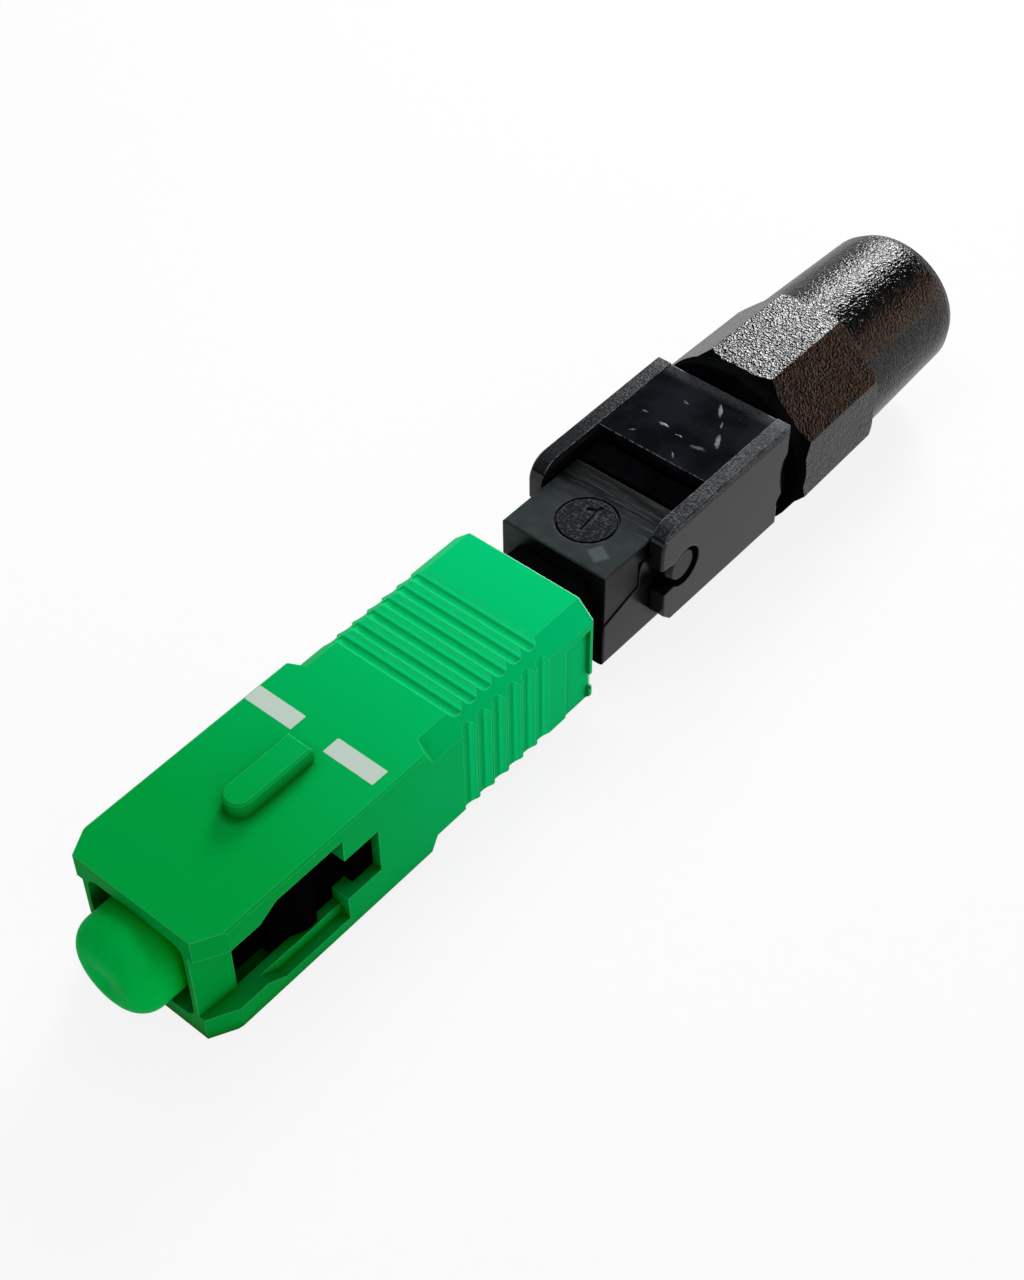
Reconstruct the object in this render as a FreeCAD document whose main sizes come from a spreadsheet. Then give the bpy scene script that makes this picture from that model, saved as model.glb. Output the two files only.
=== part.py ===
# Field-fitted SC/APC fibre connector: green push-pull housing, black splice body, flip lid and tail nut.
# The frame has +X from the mating face to the cable end, +Z towards the key, and its origin on the ferrule
# axis at the front face of the housing. Lengths are in millimetres.
import FreeCAD, Part
import math
import os
import re
import Sketcher

doc = FreeCAD.newDocument("fibre_connector")

# Driving sizes. A name that ends in _at is a place along X, and _up is a height above the axis.
driving = {
    # shared clearances
    "running_gap": 0.05,
    "seat_gap": 0.02,
    "cutter_over": 1.0,
    # outer housing
    "housing_width": 9.0,
    "housing_height": 7.4,
    "housing_length": 26.6,
    "housing_side_wall": 1.1,
    "housing_top_wall": 0.95,
    "housing_edge_chamfer": 0.12,
    "nose_cut_run": 1.5,
    "nose_cut_depth": 0.8,
    "mouth_width": 6.1,
    "mouth_corner_radius": 0.8,
    "strip_length": 2.25,
    "strip_front_thickness": 0.3,
    "strip_rear_thickness": 0.45,
    "window_height": 4.5,
    "window_wide_end_at": 8.6,
    "window_narrow_height": 2.9,
    "window_end_at": 10.85,
    "ledge_depth": 0.6,
    "ledge_height": 5.8,
    "ledge_ramp_start_at": 3.3,
    "ledge_ramp_end_at": 4.4,
    "key_width": 1.55,
    "key_height": 0.9,
    "key_front_at": 6.0,
    "key_rear_at": 10.75,
    "key_edge_chamfer": 0.12,
    "grip_front_at": 14.3,
    "grip_run": 0.45,
    "grip_chamfer": 0.98,
    "rib_first_at": 17.25,
    "rib_pitch": 1.08,
    "rib_count": 6,
    "rib_depth": 0.34,
    "rib_radius": 0.48,
    "rib_top_length": 7.6,
    "rib_side_length": 6.1,
    "panel_rear_margin": 0.3,
    "panel_length": 1.9,
    "panel_top_up": 2.2,
    "panel_bottom_drop": 2.95,
    "panel_depth": 0.25,
    "panel_gap_height": 1.1,
    "panel_gap_drop": 1.1,
    # plug frame
    "frame_front_at": 2.35,
    "frame_rear_at": 16.0,
    "frame_nose_length": 2.3,
    "frame_nose_gap": 0.1,
    "frame_edge_chamfer": 0.4,
    "frame_shell_wall": 0.35,
    "frame_front_bore_depth": 3.25,
    "frame_wall": 0.95,
    "frame_wall_hole_radius": 1.6,
    "ramp_front_at": 4.85,
    "ramp_rear_at": 7.0,
    "ramp_crest_length": 0.6,
    "ramp_height": 0.65,
    "ramp_width": 3.8,
    "boss_front_at": 9.4,
    "boss_height": 0.65,
    "snap_window_front_at": 13.9,
    "snap_window_length": 1.4,
    "snap_window_width": 2.4,
    # ferrule, its holder and spring
    "ferrule_radius": 1.249,
    "ferrule_length": 10.5,
    "ferrule_tip_at": -0.5,
    "ferrule_nose_radius": 0.75,
    "ferrule_nose_length": 0.5,
    "ferrule_tip_angle": 8.0,
    "capillary_radius": 0.07,
    "funnel_radius": 0.5,
    "funnel_length": 0.8,
    "bond_gap": 0.01,
    "fibre_radius": 0.0625,
    "fibre_end_at": 25.0,
    "holder_play": 0.08,
    "holder_flange_length": 1.4,
    "spring_room": 0.52,
    "holder_length": 5.4,
    "holder_notch_width": 0.5,
    "holder_notch_depth": 0.4,
    "holder_rear_hole_radius": 0.4,
    "spring_wire_radius": 0.18,
    "spring_turns": 5,
    # dust cap
    "cap_front_at": -2.2,
    "cap_mouth_gap": 0.13,
    "cap_head_end_at": 1.2,
    "cap_stem_play": 0.1,
    "cap_stem_end_at": 4.5,
    "cap_round": 1.35,
    "cap_tip_room": 0.4,
    "cap_bore_gap": 0.03,
    # main body
    "body_barrel_front_at": 13.05,
    "body_barrel_wall": 0.45,
    "snap_lug_height": 0.32,
    "neck_width": 5.0,
    "neck_top_up": 1.9,
    "neck_bottom_drop": 2.6,
    "neck_edge_chamfer": 0.4,
    "base_front_at": 28.8,
    "base_width": 6.84,
    "base_bottom_drop": 3.4,
    "base_edge_radius": 0.35,
    "seam_front_drop": 0.4,
    "seam_rear_up": 0.4,
    "cheek_front_at": 31.6,
    "cheek_thickness": 0.82,
    "cheek_low_up": 2.0,
    "cheek_high_up": 2.9,
    "cheek_step_at": 35.2,
    "cheek_round": 0.7,
    "pivot_at": 34.1,
    "pivot_up": 0.55,
    "pivot_radius": 1.12,
    "pivot_inset": 0.14,
    "pivot_chamfer": 0.25,
    "collar_front_at": 43.4,
    "collar_radius": 5.0,
    "collar_thickness": 0.8,
    "cable_bore_radius": 1.9,
    "channel_width": 4.2,
    "channel_floor_drop": 1.6,
    "tooth_height": 0.3,
    "tooth_length": 0.5,
    "tooth_pitch": 1.2,
    "tooth_count": 5,
    "underside_recess_depth": 0.25,
    "underside_recess_margin": 1.1,
    "stub_radius": 3.4,
    "stub_length": 6.0,
    "seat_length": 1.8,
    "seat_mouth_radius": 2.9,
    # splice
    "splice_front_at": 17.5,
    "splice_rear_at": 35.1,
    "splice_width": 2.7,
    "splice_base_height": 1.3,
    "splice_cover_height": 1.13,
    "splice_edge_chamfer": 0.25,
    "groove_half_width": 0.16,
    "groove_depth": 0.2,
    "cover_groove_depth": 0.1,
    "clip_front_at": 19.0,
    "clip_length": 8.0,
    "clip_sheet": 0.2,
    "clip_opening": 1.0,
    "guide_radius": 1.4,
    "guide_length": 1.5,
    "guide_hole_radius": 0.16,
    "guide_mouth_radius": 1.0,
    # press block
    "block_side_inset": 0.06,
    "block_top_up": 3.0,
    "block_rear_at": 34.9,
    "block_edge_chamfer": 0.1,
    "mark_at": 31.56,
    "mark_radius": 1.72,
    "mark_ring_width": 0.16,
    "mark_depth": 0.12,
    # lock cover
    "lid_side_gap": 0.1,
    "lid_arm_thickness": 0.92,
    "lid_top_up": 4.0,
    "lid_plate_thickness": 0.9,
    "lid_plate_sink": 0.07,
    "lid_plate_front_at": 36.85,
    "lid_front_at": 32.15,
    "lid_rear_at": 43.1,
    "lid_bottom_drop": 2.5,
    "lid_front_round": 1.3,
    "lid_corner_radius": 0.6,
    "lid_rear_step": 0.7,
    "lid_step_drop": 0.95,
    "lid_step_slope": 0.65,
    "lid_edge_chamfer": 0.1,
    "lid_hole_gap": 0.08,
    "slot_mouth_top_up": 1.6,
    "slot_mouth_bottom_drop": 0.35,
    "slot_neck_half_height": 0.8,
    "rib_press_front_at": 37.6,
    "rib_press_length": 4.6,
    "rib_press_width": 2.6,
    "rib_press_height": 0.9,
    # collet and tail nut
    "collet_bore_radius": 1.7,
    "collet_nose_radius": 2.4,
    "collet_cone_radius": 2.8,
    "collet_cone_length": 1.6,
    "collet_neck_radius": 2.3,
    "collet_rim_radius": 3.05,
    "collet_rim_length": 0.9,
    "collet_slot_width": 0.5,
    "collet_slot_length": 4.6,
    "nut_seat_gap": 0.1,
    "nut_flats": 9.66,
    "nut_flats_rear": 9.4,
    "nut_octagon_length": 6.9,
    "nut_corner_cut": 0.35,
    "nut_barrel_radius": 4.6,
    "nut_rear_radius": 4.28,
    "nut_length": 15.9,
    "nut_rear_round": 0.85,
    "thread_gap": 0.08,
    "nut_thread_length": 6.6,
    "nut_room_radius": 3.15,
    "nut_room_end_at": 55.6,
    "cable_entry_radius": 2.2,
    "cable_entry_chamfer": 0.4,
}

sheet = doc.addObject("Spreadsheet::Sheet", "sizes")
for row, (name, value) in enumerate(driving.items(), start=1):
    sheet.set(f"A{row}", name)
    sheet.set(f"B{row}", str(value))
    sheet.setAlias(f"B{row}", name)
doc.recompute()

alias_word = re.compile(r"[a-z]+(?:_[a-z]+)*")


def bound(text):
    """Expression text in which each driving size points at its cell."""
    return alias_word.sub(lambda w: "sizes." + w.group() if w.group() in driving else w.group(), text)


def measure(text):
    """Present value of an expression of the driving sizes."""
    return float(sheet.evalExpression(bound(text)))


# Places worked out from the driving sizes and used by more than one piece.
cavity_half_width = "(housing_width/2 - housing_side_wall)"
cavity_half_height = "(housing_height/2 - housing_top_wall)"
frame_half_width = f"({cavity_half_width} - running_gap)"
frame_half_height = f"({cavity_half_height} - running_gap)"
frame_bore = f"({frame_half_height} - frame_shell_wall)"
holder_front = "(frame_front_at + frame_front_bore_depth + frame_wall)"
holder_flange_radius = f"({frame_bore} - holder_play)"
holder_barrel_radius = f"({holder_flange_radius} - spring_room)"
spring_front = f"({holder_front} + holder_flange_length)"
body_barrel_radius = f"({frame_bore} - running_gap)"
neck_front = "(frame_rear_at + running_gap)"
collar_rear = "(collar_front_at + collar_thickness)"
stub_rear = f"({collar_rear} + stub_length)"
nut_front = f"({collar_rear} + nut_seat_gap)"
nut_rear = f"({nut_front} + nut_length)"
lid_inner = "(base_width/2 + lid_side_gap)"
lid_outer = f"({lid_inner} + lid_arm_thickness)"
pivot_end = f"({lid_outer} - pivot_inset)"
splice_room_half_width = "(splice_width/2 + running_gap)"
splice_top = "(splice_cover_height + seat_gap)"


def new_body(label):
    """An empty body whose label is the piece's name."""
    body = doc.addObject("PartDesign::Body", label)
    body.Label = label
    return body


def origin_plane(body, role):
    return next(f for f in body.Origin.OriginFeatures if f.Role == role)


def new_sketch(body, name, plane, lift):
    """A sketch on one of the body's own planes, lifted along the plane's normal."""
    sketch = body.newObject("Sketcher::SketchObject", name)
    sketch.AttachmentSupport = (origin_plane(body, plane), "")
    sketch.MapMode = "FlatFace"
    sketch.setExpression("AttachmentOffset.Base.z", bound(lift))
    return sketch


def fix_point(sketch, geometry, end, across, up):
    """Ties one end of a sketch line to two expressions, measured from the sketch's origin."""
    for kind, text in (("DistanceX", across), ("DistanceY", up)):
        value = measure(text)
        index = sketch.addConstraint(Sketcher.Constraint(kind, -1, 1, geometry, end, value))
        sketch.setExpression(f"Constraints[{index}]", bound(text))


def outline(body, name, plane, points, lift="0"):
    """A closed outline of straight sides through points given as pairs of expressions."""
    sketch = new_sketch(body, name, plane, lift)
    places = [FreeCAD.Vector(measure(across), measure(up), 0) for across, up in points]
    for start, end in zip(places, places[1:] + places[:1]):
        sketch.addGeometry(Part.LineSegment(start, end))
    last = len(points) - 1
    for side in range(len(points)):
        after = 0 if side == last else side + 1
        sketch.addConstraint(Sketcher.Constraint("Coincident", side, 2, after, 1))
    for side, (across, up) in enumerate(points):
        fix_point(sketch, side, 1, across, up)
    return sketch


def disc(body, name, plane, across, up, radius, lift="0"):
    """A sketch of one circle."""
    sketch = new_sketch(body, name, plane, lift)
    centre = FreeCAD.Vector(measure(across), measure(up), 0)
    sketch.addGeometry(Part.Circle(centre, FreeCAD.Vector(0, 0, 1), measure(radius)))
    fix_point(sketch, 0, 3, across, up)
    index = sketch.addConstraint(Sketcher.Constraint("Radius", 0, measure(radius)))
    sketch.setExpression(f"Constraints[{index}]", bound(radius))
    return sketch


def extrude(body, sketch, length, both=False, cut=False):
    """Pad or pocket along the sketch plane's normal, or half each way from it."""
    kind = "Pocket" if cut else "Pad"
    feature = body.newObject("PartDesign::" + kind, sketch.Name + "_" + kind.lower())
    feature.Profile = sketch
    feature.setExpression("Length", bound(length))
    if both:
        feature.SideType = "Symmetric"
    elif cut:
        feature.Reversed = True
    doc.recompute()
    return feature


def spin(body, name, points, cut=False):
    """Turned form about the X axis, from an outline of (x, radius) expressions."""
    sketch = outline(body, name, "XZ_Plane", points)
    kind = "Groove" if cut else "Revolution"
    feature = body.newObject("PartDesign::" + kind, name + "_" + kind.lower())
    feature.Profile = sketch
    feature.ReferenceAxis = (sketch, ["H_Axis"])
    feature.Angle = 360
    doc.recompute()
    return feature


def block(body, name, x, y, z, cut=False):
    """Box between pairs of expressions along each axis."""
    kind = "SubtractiveBox" if cut else "AdditiveBox"
    feature = body.newObject("PartDesign::" + kind, name)
    for side, axis, (low, high) in (("Length", "x", x), ("Width", "y", y), ("Height", "z", z)):
        feature.setExpression(side, bound(f"({high}) - ({low})"))
        feature.setExpression("Placement.Base." + axis, bound(low))
    doc.recompute()
    return feature


def both_ways(half):
    return (f"-({half})", half)


def mirror(body, features, plane):
    """Copies features to the other side of one of the body's origin planes."""
    feature = body.newObject("PartDesign::Mirrored", features[0].Name + "_mirror_" + plane[:2].lower())
    feature.Originals = features
    feature.MirrorPlane = (origin_plane(body, plane), [""])
    body.Tip = feature
    doc.recompute()
    return feature


def repeat(body, features, axis_role, step, count):
    """Copies features along one of the body's own axes, a step apart."""
    feature = body.newObject("PartDesign::LinearPattern", features[0].Name + "_row")
    feature.Originals = features
    feature.Direction = (origin_plane(body, axis_role), [""])
    feature.Mode = "Spacing"
    feature.setExpression("Offset", bound(step))
    feature.setExpression("Occurrences", bound(count))
    body.Tip = feature
    doc.recompute()
    return feature


def around(body, features, count):
    """Copies features evenly about the X axis."""
    feature = body.newObject("PartDesign::PolarPattern", features[0].Name + "_ring")
    feature.Originals = features
    feature.Axis = (origin_plane(body, "X_Axis"), [""])
    feature.Angle = 360
    feature.Occurrences = count
    body.Tip = feature
    doc.recompute()
    return feature


# Corner points of a rim rounded off in two steps, from the end face out to the full radius.
def rounded_rim(face, inward, radius, size):
    return [(f"{face} {inward} {size}*(1 - cos({turn} deg))", f"{radius} - {size}*(1 - sin({turn} deg))")
            for turn in (0, 45, 90)]


def is_line_along(edge, axis):
    """True for a straight edge parallel to the named axis."""
    if edge.Curve.TypeId != "Part::GeomLine":
        return False
    direction = edge.tangentAt(edge.FirstParameter)
    return abs(abs(getattr(direction, axis)) - 1) < 1e-6


def near(value, text):
    return abs(value - measure(text)) < 1e-4


def dress(body, name, size, wanted, kind="Fillet"):
    """Fillet or chamfer on the edges of the body's present shape that wanted accepts."""
    base = body.Tip
    edges = ["Edge%d" % n for n, edge in enumerate(base.Shape.Edges, start=1) if wanted(edge)]
    feature = body.newObject("PartDesign::" + kind, name)
    feature.Base = (base, edges)
    feature.setExpression("Radius" if kind == "Fillet" else "Size", bound(size))
    doc.recompute()
    return feature


def middle(edge):
    return edge.valueAt((edge.FirstParameter + edge.LastParameter) / 2)


# Outer housing: a square sleeve with a key on top, latch windows in both sides and a ribbed grip.
def make_outer_housing():
    body = new_body("outer_housing")
    half_width, half_height = "housing_width/2", "housing_height/2"
    inner, room = cavity_half_width, cavity_half_height
    full_grip_at = "(grip_front_at + grip_run)"

    # The sleeve's small chamfers widen over a short run to those of the grip, whose faces are flush with it.
    sections = []
    for place, at, chamfer in (
            ("sleeve", "0", "housing_edge_chamfer"), ("run_front", "grip_front_at", "housing_edge_chamfer"),
            ("run_rear", full_grip_at, "grip_chamfer"), ("grip", full_grip_at, "grip_chamfer")):
        side, top = f"({half_width} - {chamfer})", f"({half_height} - {chamfer})"
        sections.append(outline(body, place + "_section", "YZ_Plane", [
            (half_width, top), (side, half_height), (f"-{side}", half_height), (f"-{half_width}", top),
            (f"-{half_width}", f"-{top}"), (f"-{side}", f"-{half_height}"), (side, f"-{half_height}"),
            (half_width, f"-{top}")], lift=at))
    extrude(body, sections[0], "grip_front_at")
    run = body.newObject("PartDesign::AdditiveLoft", "grip_run")
    run.Profile = sections[1]
    run.Sections = [sections[2]]
    run.Ruled = True
    doc.recompute()
    extrude(body, sections[3], f"housing_length - {full_grip_at}")
    dress(body, "rear_rim", "housing_edge_chamfer",
          lambda e: near(middle(e).x, "housing_length") and near(e.BoundBox.XLength, "0"), kind="Chamfer")

    nose = outline(body, "nose_cut", "XY_Plane", [
        ("0", f"{half_width} - nose_cut_depth"), ("nose_cut_run", half_width),
        ("nose_cut_run", f"{half_width} + cutter_over"), ("0", f"{half_width} + cutter_over")])
    nose_pocket = extrude(body, nose, "housing_height + 2*cutter_over", both=True, cut=True)
    mirror(body, [nose_pocket], "XZ_Plane")

    block(body, "mouth", ("-cutter_over", "housing_length + cutter_over"),
          both_ways("mouth_width/2"), both_ways(room), cut=True)
    dress(body, "mouth_rounding", "mouth_corner_radius",
          lambda e: is_line_along(e, "x") and near(abs(middle(e).y), "mouth_width/2"))
    block(body, "cavity", ("strip_length", "housing_length + cutter_over"),
          both_ways(inner), both_ways(room), cut=True)

    strip = outline(body, "strip_recess", "XY_Plane", [
        ("0", "-(mouth_width/2 + strip_front_thickness)"),
        ("strip_length", "-(mouth_width/2 + strip_rear_thickness)"),
        ("strip_length", f"-({half_width} + cutter_over)"), ("0", f"-({half_width} + cutter_over)")])
    strip_pocket = extrude(body, strip, "window_height", both=True, cut=True)
    window = block(body, "window_wide", ("strip_length", "window_wide_end_at"),
                   (f"-({half_width} + cutter_over)", "-mouth_width/2"),
                   both_ways("window_height/2"), cut=True)
    narrow = block(body, "window_narrow", ("window_wide_end_at - cutter_over", "window_end_at"),
                   (f"-({half_width} + cutter_over)", "-mouth_width/2"),
                   both_ways("window_narrow_height/2"), cut=True)
    ledge = outline(body, "ledge", "XZ_Plane", [
        ("ledge_ramp_start_at", "-window_height/2"), ("ledge_ramp_end_at", "-ledge_height/2"),
        ("window_wide_end_at", "-ledge_height/2"), ("window_wide_end_at", "ledge_height/2"),
        ("ledge_ramp_end_at", "ledge_height/2"), ("ledge_ramp_start_at", "window_height/2")],
        lift=f"{half_width} - ledge_depth")
    ledge_pocket = extrude(body, ledge, "ledge_depth + cutter_over", cut=True)

    panel_rear = "(housing_length - panel_rear_margin)"
    panel = block(body, "panel", (f"{panel_rear} - panel_length", panel_rear),
                  (f"-({half_width} + cutter_over)", f"-({half_width} - panel_depth)"),
                  ("-panel_bottom_drop", "panel_top_up"), cut=True)
    panel_gap = block(body, "panel_gap", (f"{panel_rear} - panel_length/2", "housing_length + cutter_over"),
                      (f"-({half_width} + cutter_over)", f"-({half_width} - panel_depth)"),
                      ("-(panel_gap_drop + panel_gap_height)", "-panel_gap_drop"), cut=True)
    mirror(body, [strip_pocket, window, narrow, ledge_pocket, panel, panel_gap], "XZ_Plane")

    key_centre = "key_front_at + key_width/2"
    block(body, "key", (key_centre, "key_rear_at"), both_ways("key_width/2"),
          (f"{half_height} - housing_top_wall/2", f"{half_height} + key_height"))
    key_nose = disc(body, "key_nose", "XY_Plane", key_centre, "0", "key_width/2",
                    lift=f"{half_height} - housing_top_wall/2")
    extrude(body, key_nose, "housing_top_wall/2 + key_height")
    dress(body, "key_edge", "key_edge_chamfer",
          lambda e: near(middle(e).z, f"{half_height} + key_height") and near(e.BoundBox.ZLength, "0"),
          kind="Chamfer")

    ribs = []
    for side, sign in (("one", ""), ("other", "-")):
        top = disc(body, "rib_top_" + side, "XZ_Plane", "rib_first_at",
                   f"{sign}({half_height} + rib_radius - rib_depth)", "rib_radius")
        ribs.append(extrude(body, top, "rib_top_length", both=True, cut=True))
        flank = disc(body, "rib_flank_" + side, "XY_Plane", "rib_first_at",
                     f"{sign}({half_width} + rib_radius - rib_depth)", "rib_radius")
        ribs.append(extrude(body, flank, "rib_side_length", both=True, cut=True))
    repeat(body, ribs, "X_Axis", "rib_pitch", "rib_count")
    return body


# Plug frame: the inner shell that the adapter's arms hook on, open in front for the adapter's sleeve.
def make_plug_frame():
    body = new_body("plug_frame")
    nose_rear = "frame_front_at + frame_nose_length"
    block(body, "frame_nose", ("frame_front_at", nose_rear),
          both_ways("mouth_width/2 - frame_nose_gap"), both_ways(frame_half_height))
    dress(body, "frame_nose_rounding", "mouth_corner_radius + running_gap", lambda e: is_line_along(e, "x"))
    block(body, "frame_shell", (nose_rear, "frame_rear_at"),
          both_ways(frame_half_width), both_ways(frame_half_height))
    dress(body, "frame_chamfer", "frame_edge_chamfer",
          lambda e: is_line_along(e, "x") and near(abs(middle(e).y), frame_half_width), kind="Chamfer")

    ramp = outline(body, "latch_ramp", "XY_Plane", [
        ("ramp_front_at", f"-{frame_half_width}"),
        ("ramp_rear_at - ramp_crest_length", f"-({frame_half_width} + ramp_height)"),
        ("ramp_rear_at", f"-({frame_half_width} + ramp_height)"),
        ("ramp_rear_at", f"-({frame_half_width} - frame_edge_chamfer)"),
        ("ramp_front_at", f"-({frame_half_width} - frame_edge_chamfer)")])
    ramp_pad = extrude(body, ramp, "ramp_width", both=True)
    boss = block(body, "stop_boss", ("boss_front_at", "window_end_at - running_gap"),
                 (f"-({frame_half_width} + boss_height)", f"-({frame_half_width} - frame_edge_chamfer)"),
                 both_ways("window_narrow_height/2 - 2*running_gap"))
    mirror(body, [ramp_pad, boss], "XZ_Plane")

    spin(body, "frame_bore", [
        ("frame_front_at - cutter_over", "0"),
        ("frame_front_at - cutter_over", frame_bore),
        ("frame_front_at + frame_front_bore_depth", frame_bore),
        ("frame_front_at + frame_front_bore_depth", "frame_wall_hole_radius"),
        (holder_front, "frame_wall_hole_radius"),
        (holder_front, frame_bore),
        ("frame_rear_at + cutter_over", frame_bore),
        ("frame_rear_at + cutter_over", "0")], cut=True)
    block(body, "snap_windows", ("snap_window_front_at", "snap_window_front_at + snap_window_length"),
          both_ways("snap_window_width/2"), both_ways(f"{frame_half_height} + cutter_over"), cut=True)
    return body


# Ferrule: ceramic pin with a conical nose, a slanted polished end and a funnel behind its capillary.
def make_ferrule():
    body = new_body("ferrule")
    rise = "ferrule_radius*tan(ferrule_tip_angle*1 deg)"
    rear = "ferrule_tip_at + ferrule_length"
    spin(body, "ferrule_pin", [
        (f"ferrule_tip_at - {rise}", "0"),
        (f"ferrule_tip_at - {rise}", "ferrule_nose_radius"),
        ("ferrule_tip_at + ferrule_nose_length", "ferrule_radius"),
        (rear, "ferrule_radius"), (rear, "0")])
    slant = outline(body, "polished_end", "XZ_Plane", [
        (f"ferrule_tip_at - {rise}", "-ferrule_radius"), (f"ferrule_tip_at + {rise}", "ferrule_radius"),
        ("ferrule_tip_at - cutter_over", "ferrule_radius"),
        ("ferrule_tip_at - cutter_over", "-ferrule_radius")])
    extrude(body, slant, "2*ferrule_radius + cutter_over", both=True, cut=True)
    spin(body, "capillary", [
        ("ferrule_tip_at - cutter_over", "0"), ("ferrule_tip_at - cutter_over", "capillary_radius"),
        (f"{rear} - funnel_length", "capillary_radius"), (rear, "funnel_radius"), (rear, "0")], cut=True)
    return body


# Fibre stub: the short length of bare fibre bonded in the ferrule, whose free end lies in the splice.
def make_fibre_stub():
    body = new_body("fibre_stub")
    spin(body, "stub_fibre", [
        ("ferrule_tip_at + fibre_radius", "0"), ("ferrule_tip_at + fibre_radius", "fibre_radius"),
        ("fibre_end_at", "fibre_radius"), ("fibre_end_at", "0")])
    return body


# Ferrule holder: notched flange that rests on the frame's wall, with a barrel behind it for the spring.
def make_ferrule_holder():
    body = new_body("ferrule_holder")
    front = f"{holder_front} + seat_gap"
    rear = f"{holder_front} + holder_length"
    spin(body, "holder_turned", [
        (front, "0"), (front, holder_flange_radius), (spring_front, holder_flange_radius),
        (spring_front, holder_barrel_radius), (rear, holder_barrel_radius), (rear, "0")])
    notch = block(body, "holder_notch", (f"{front} - cutter_over", f"{spring_front} + seat_gap"),
                  both_ways("holder_notch_width/2"),
                  (f"{holder_flange_radius} - holder_notch_depth", f"{holder_flange_radius} + cutter_over"),
                  cut=True)
    around(body, [notch], 4)
    spin(body, "holder_bore", [
        (f"{front} - cutter_over", "0"), (f"{front} - cutter_over", "ferrule_radius + bond_gap"),
        ("ferrule_tip_at + ferrule_length + bond_gap", "ferrule_radius + bond_gap"),
        ("ferrule_tip_at + ferrule_length + bond_gap", "holder_rear_hole_radius"),
        (f"{rear} + cutter_over", "holder_rear_hole_radius"), (f"{rear} + cutter_over", "0")], cut=True)
    return body


# Ferrule spring: a wire coil between the holder's flange and the body's barrel, swept as short straight
# runs so that it stays light.
def make_ferrule_spring():
    runs_per_turn, wire_sides = 12, 5
    wire = measure("spring_wire_radius")
    radius = measure(f"{holder_barrel_radius} + running_gap") + 1.25 * wire
    start = measure(f"{spring_front} + seat_gap") + wire
    length = measure("body_barrel_front_at - seat_gap") - wire - start
    turns = int(measure("spring_turns"))
    steps = turns * runs_per_turn
    corners = []
    for step in range(steps + 1):
        turn = 2 * math.pi * step / runs_per_turn
        corners.append(FreeCAD.Vector(start + length * step / steps, radius * math.cos(turn),
                                      radius * math.sin(turn)))
    forward = (corners[1] - corners[0]).normalize()
    outward = FreeCAD.Vector(0, 1, 0)
    sideways = forward.cross(outward).normalize()
    section = []
    for side in range(wire_sides + 1):
        turn = 2 * math.pi * side / wire_sides
        section.append(corners[0] + outward * wire * math.cos(turn) + sideways * wire * math.sin(turn))
    sweep = Part.BRepOffsetAPI.MakePipeShell(Part.makePolygon(corners))
    sweep.setTransitionMode(1)
    sweep.add(Part.makePolygon(section), False, False)
    sweep.build()
    sweep.makeSolid()
    spring = doc.addObject("Part::Feature", "ferrule_spring")
    spring.Label = "ferrule_spring"
    spring.Shape = sweep.shape()
    return spring


# Dust cap: soft round cap with a domed head and a stem that slips over the ferrule.
def make_dust_cap():
    body = new_body("dust_cap")
    cap_radius = f"{cavity_half_height} - cap_mouth_gap"
    stem_radius = f"{frame_bore} - cap_stem_play"
    spin(body, "cap_turned", [
        ("cap_front_at", "0"), *rounded_rim("cap_front_at", "+", cap_radius, "cap_round"),
        ("cap_head_end_at", cap_radius), ("cap_head_end_at", stem_radius),
        ("cap_stem_end_at", stem_radius), ("cap_stem_end_at", "0")])
    spin(body, "cap_bore", [
        ("ferrule_tip_at - cap_tip_room", "0"),
        ("ferrule_tip_at - cap_tip_room", "ferrule_radius + cap_bore_gap"),
        ("cap_stem_end_at + cutter_over", "ferrule_radius + cap_bore_gap"),
        ("cap_stem_end_at + cutter_over", "0")], cut=True)
    return body


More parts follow.
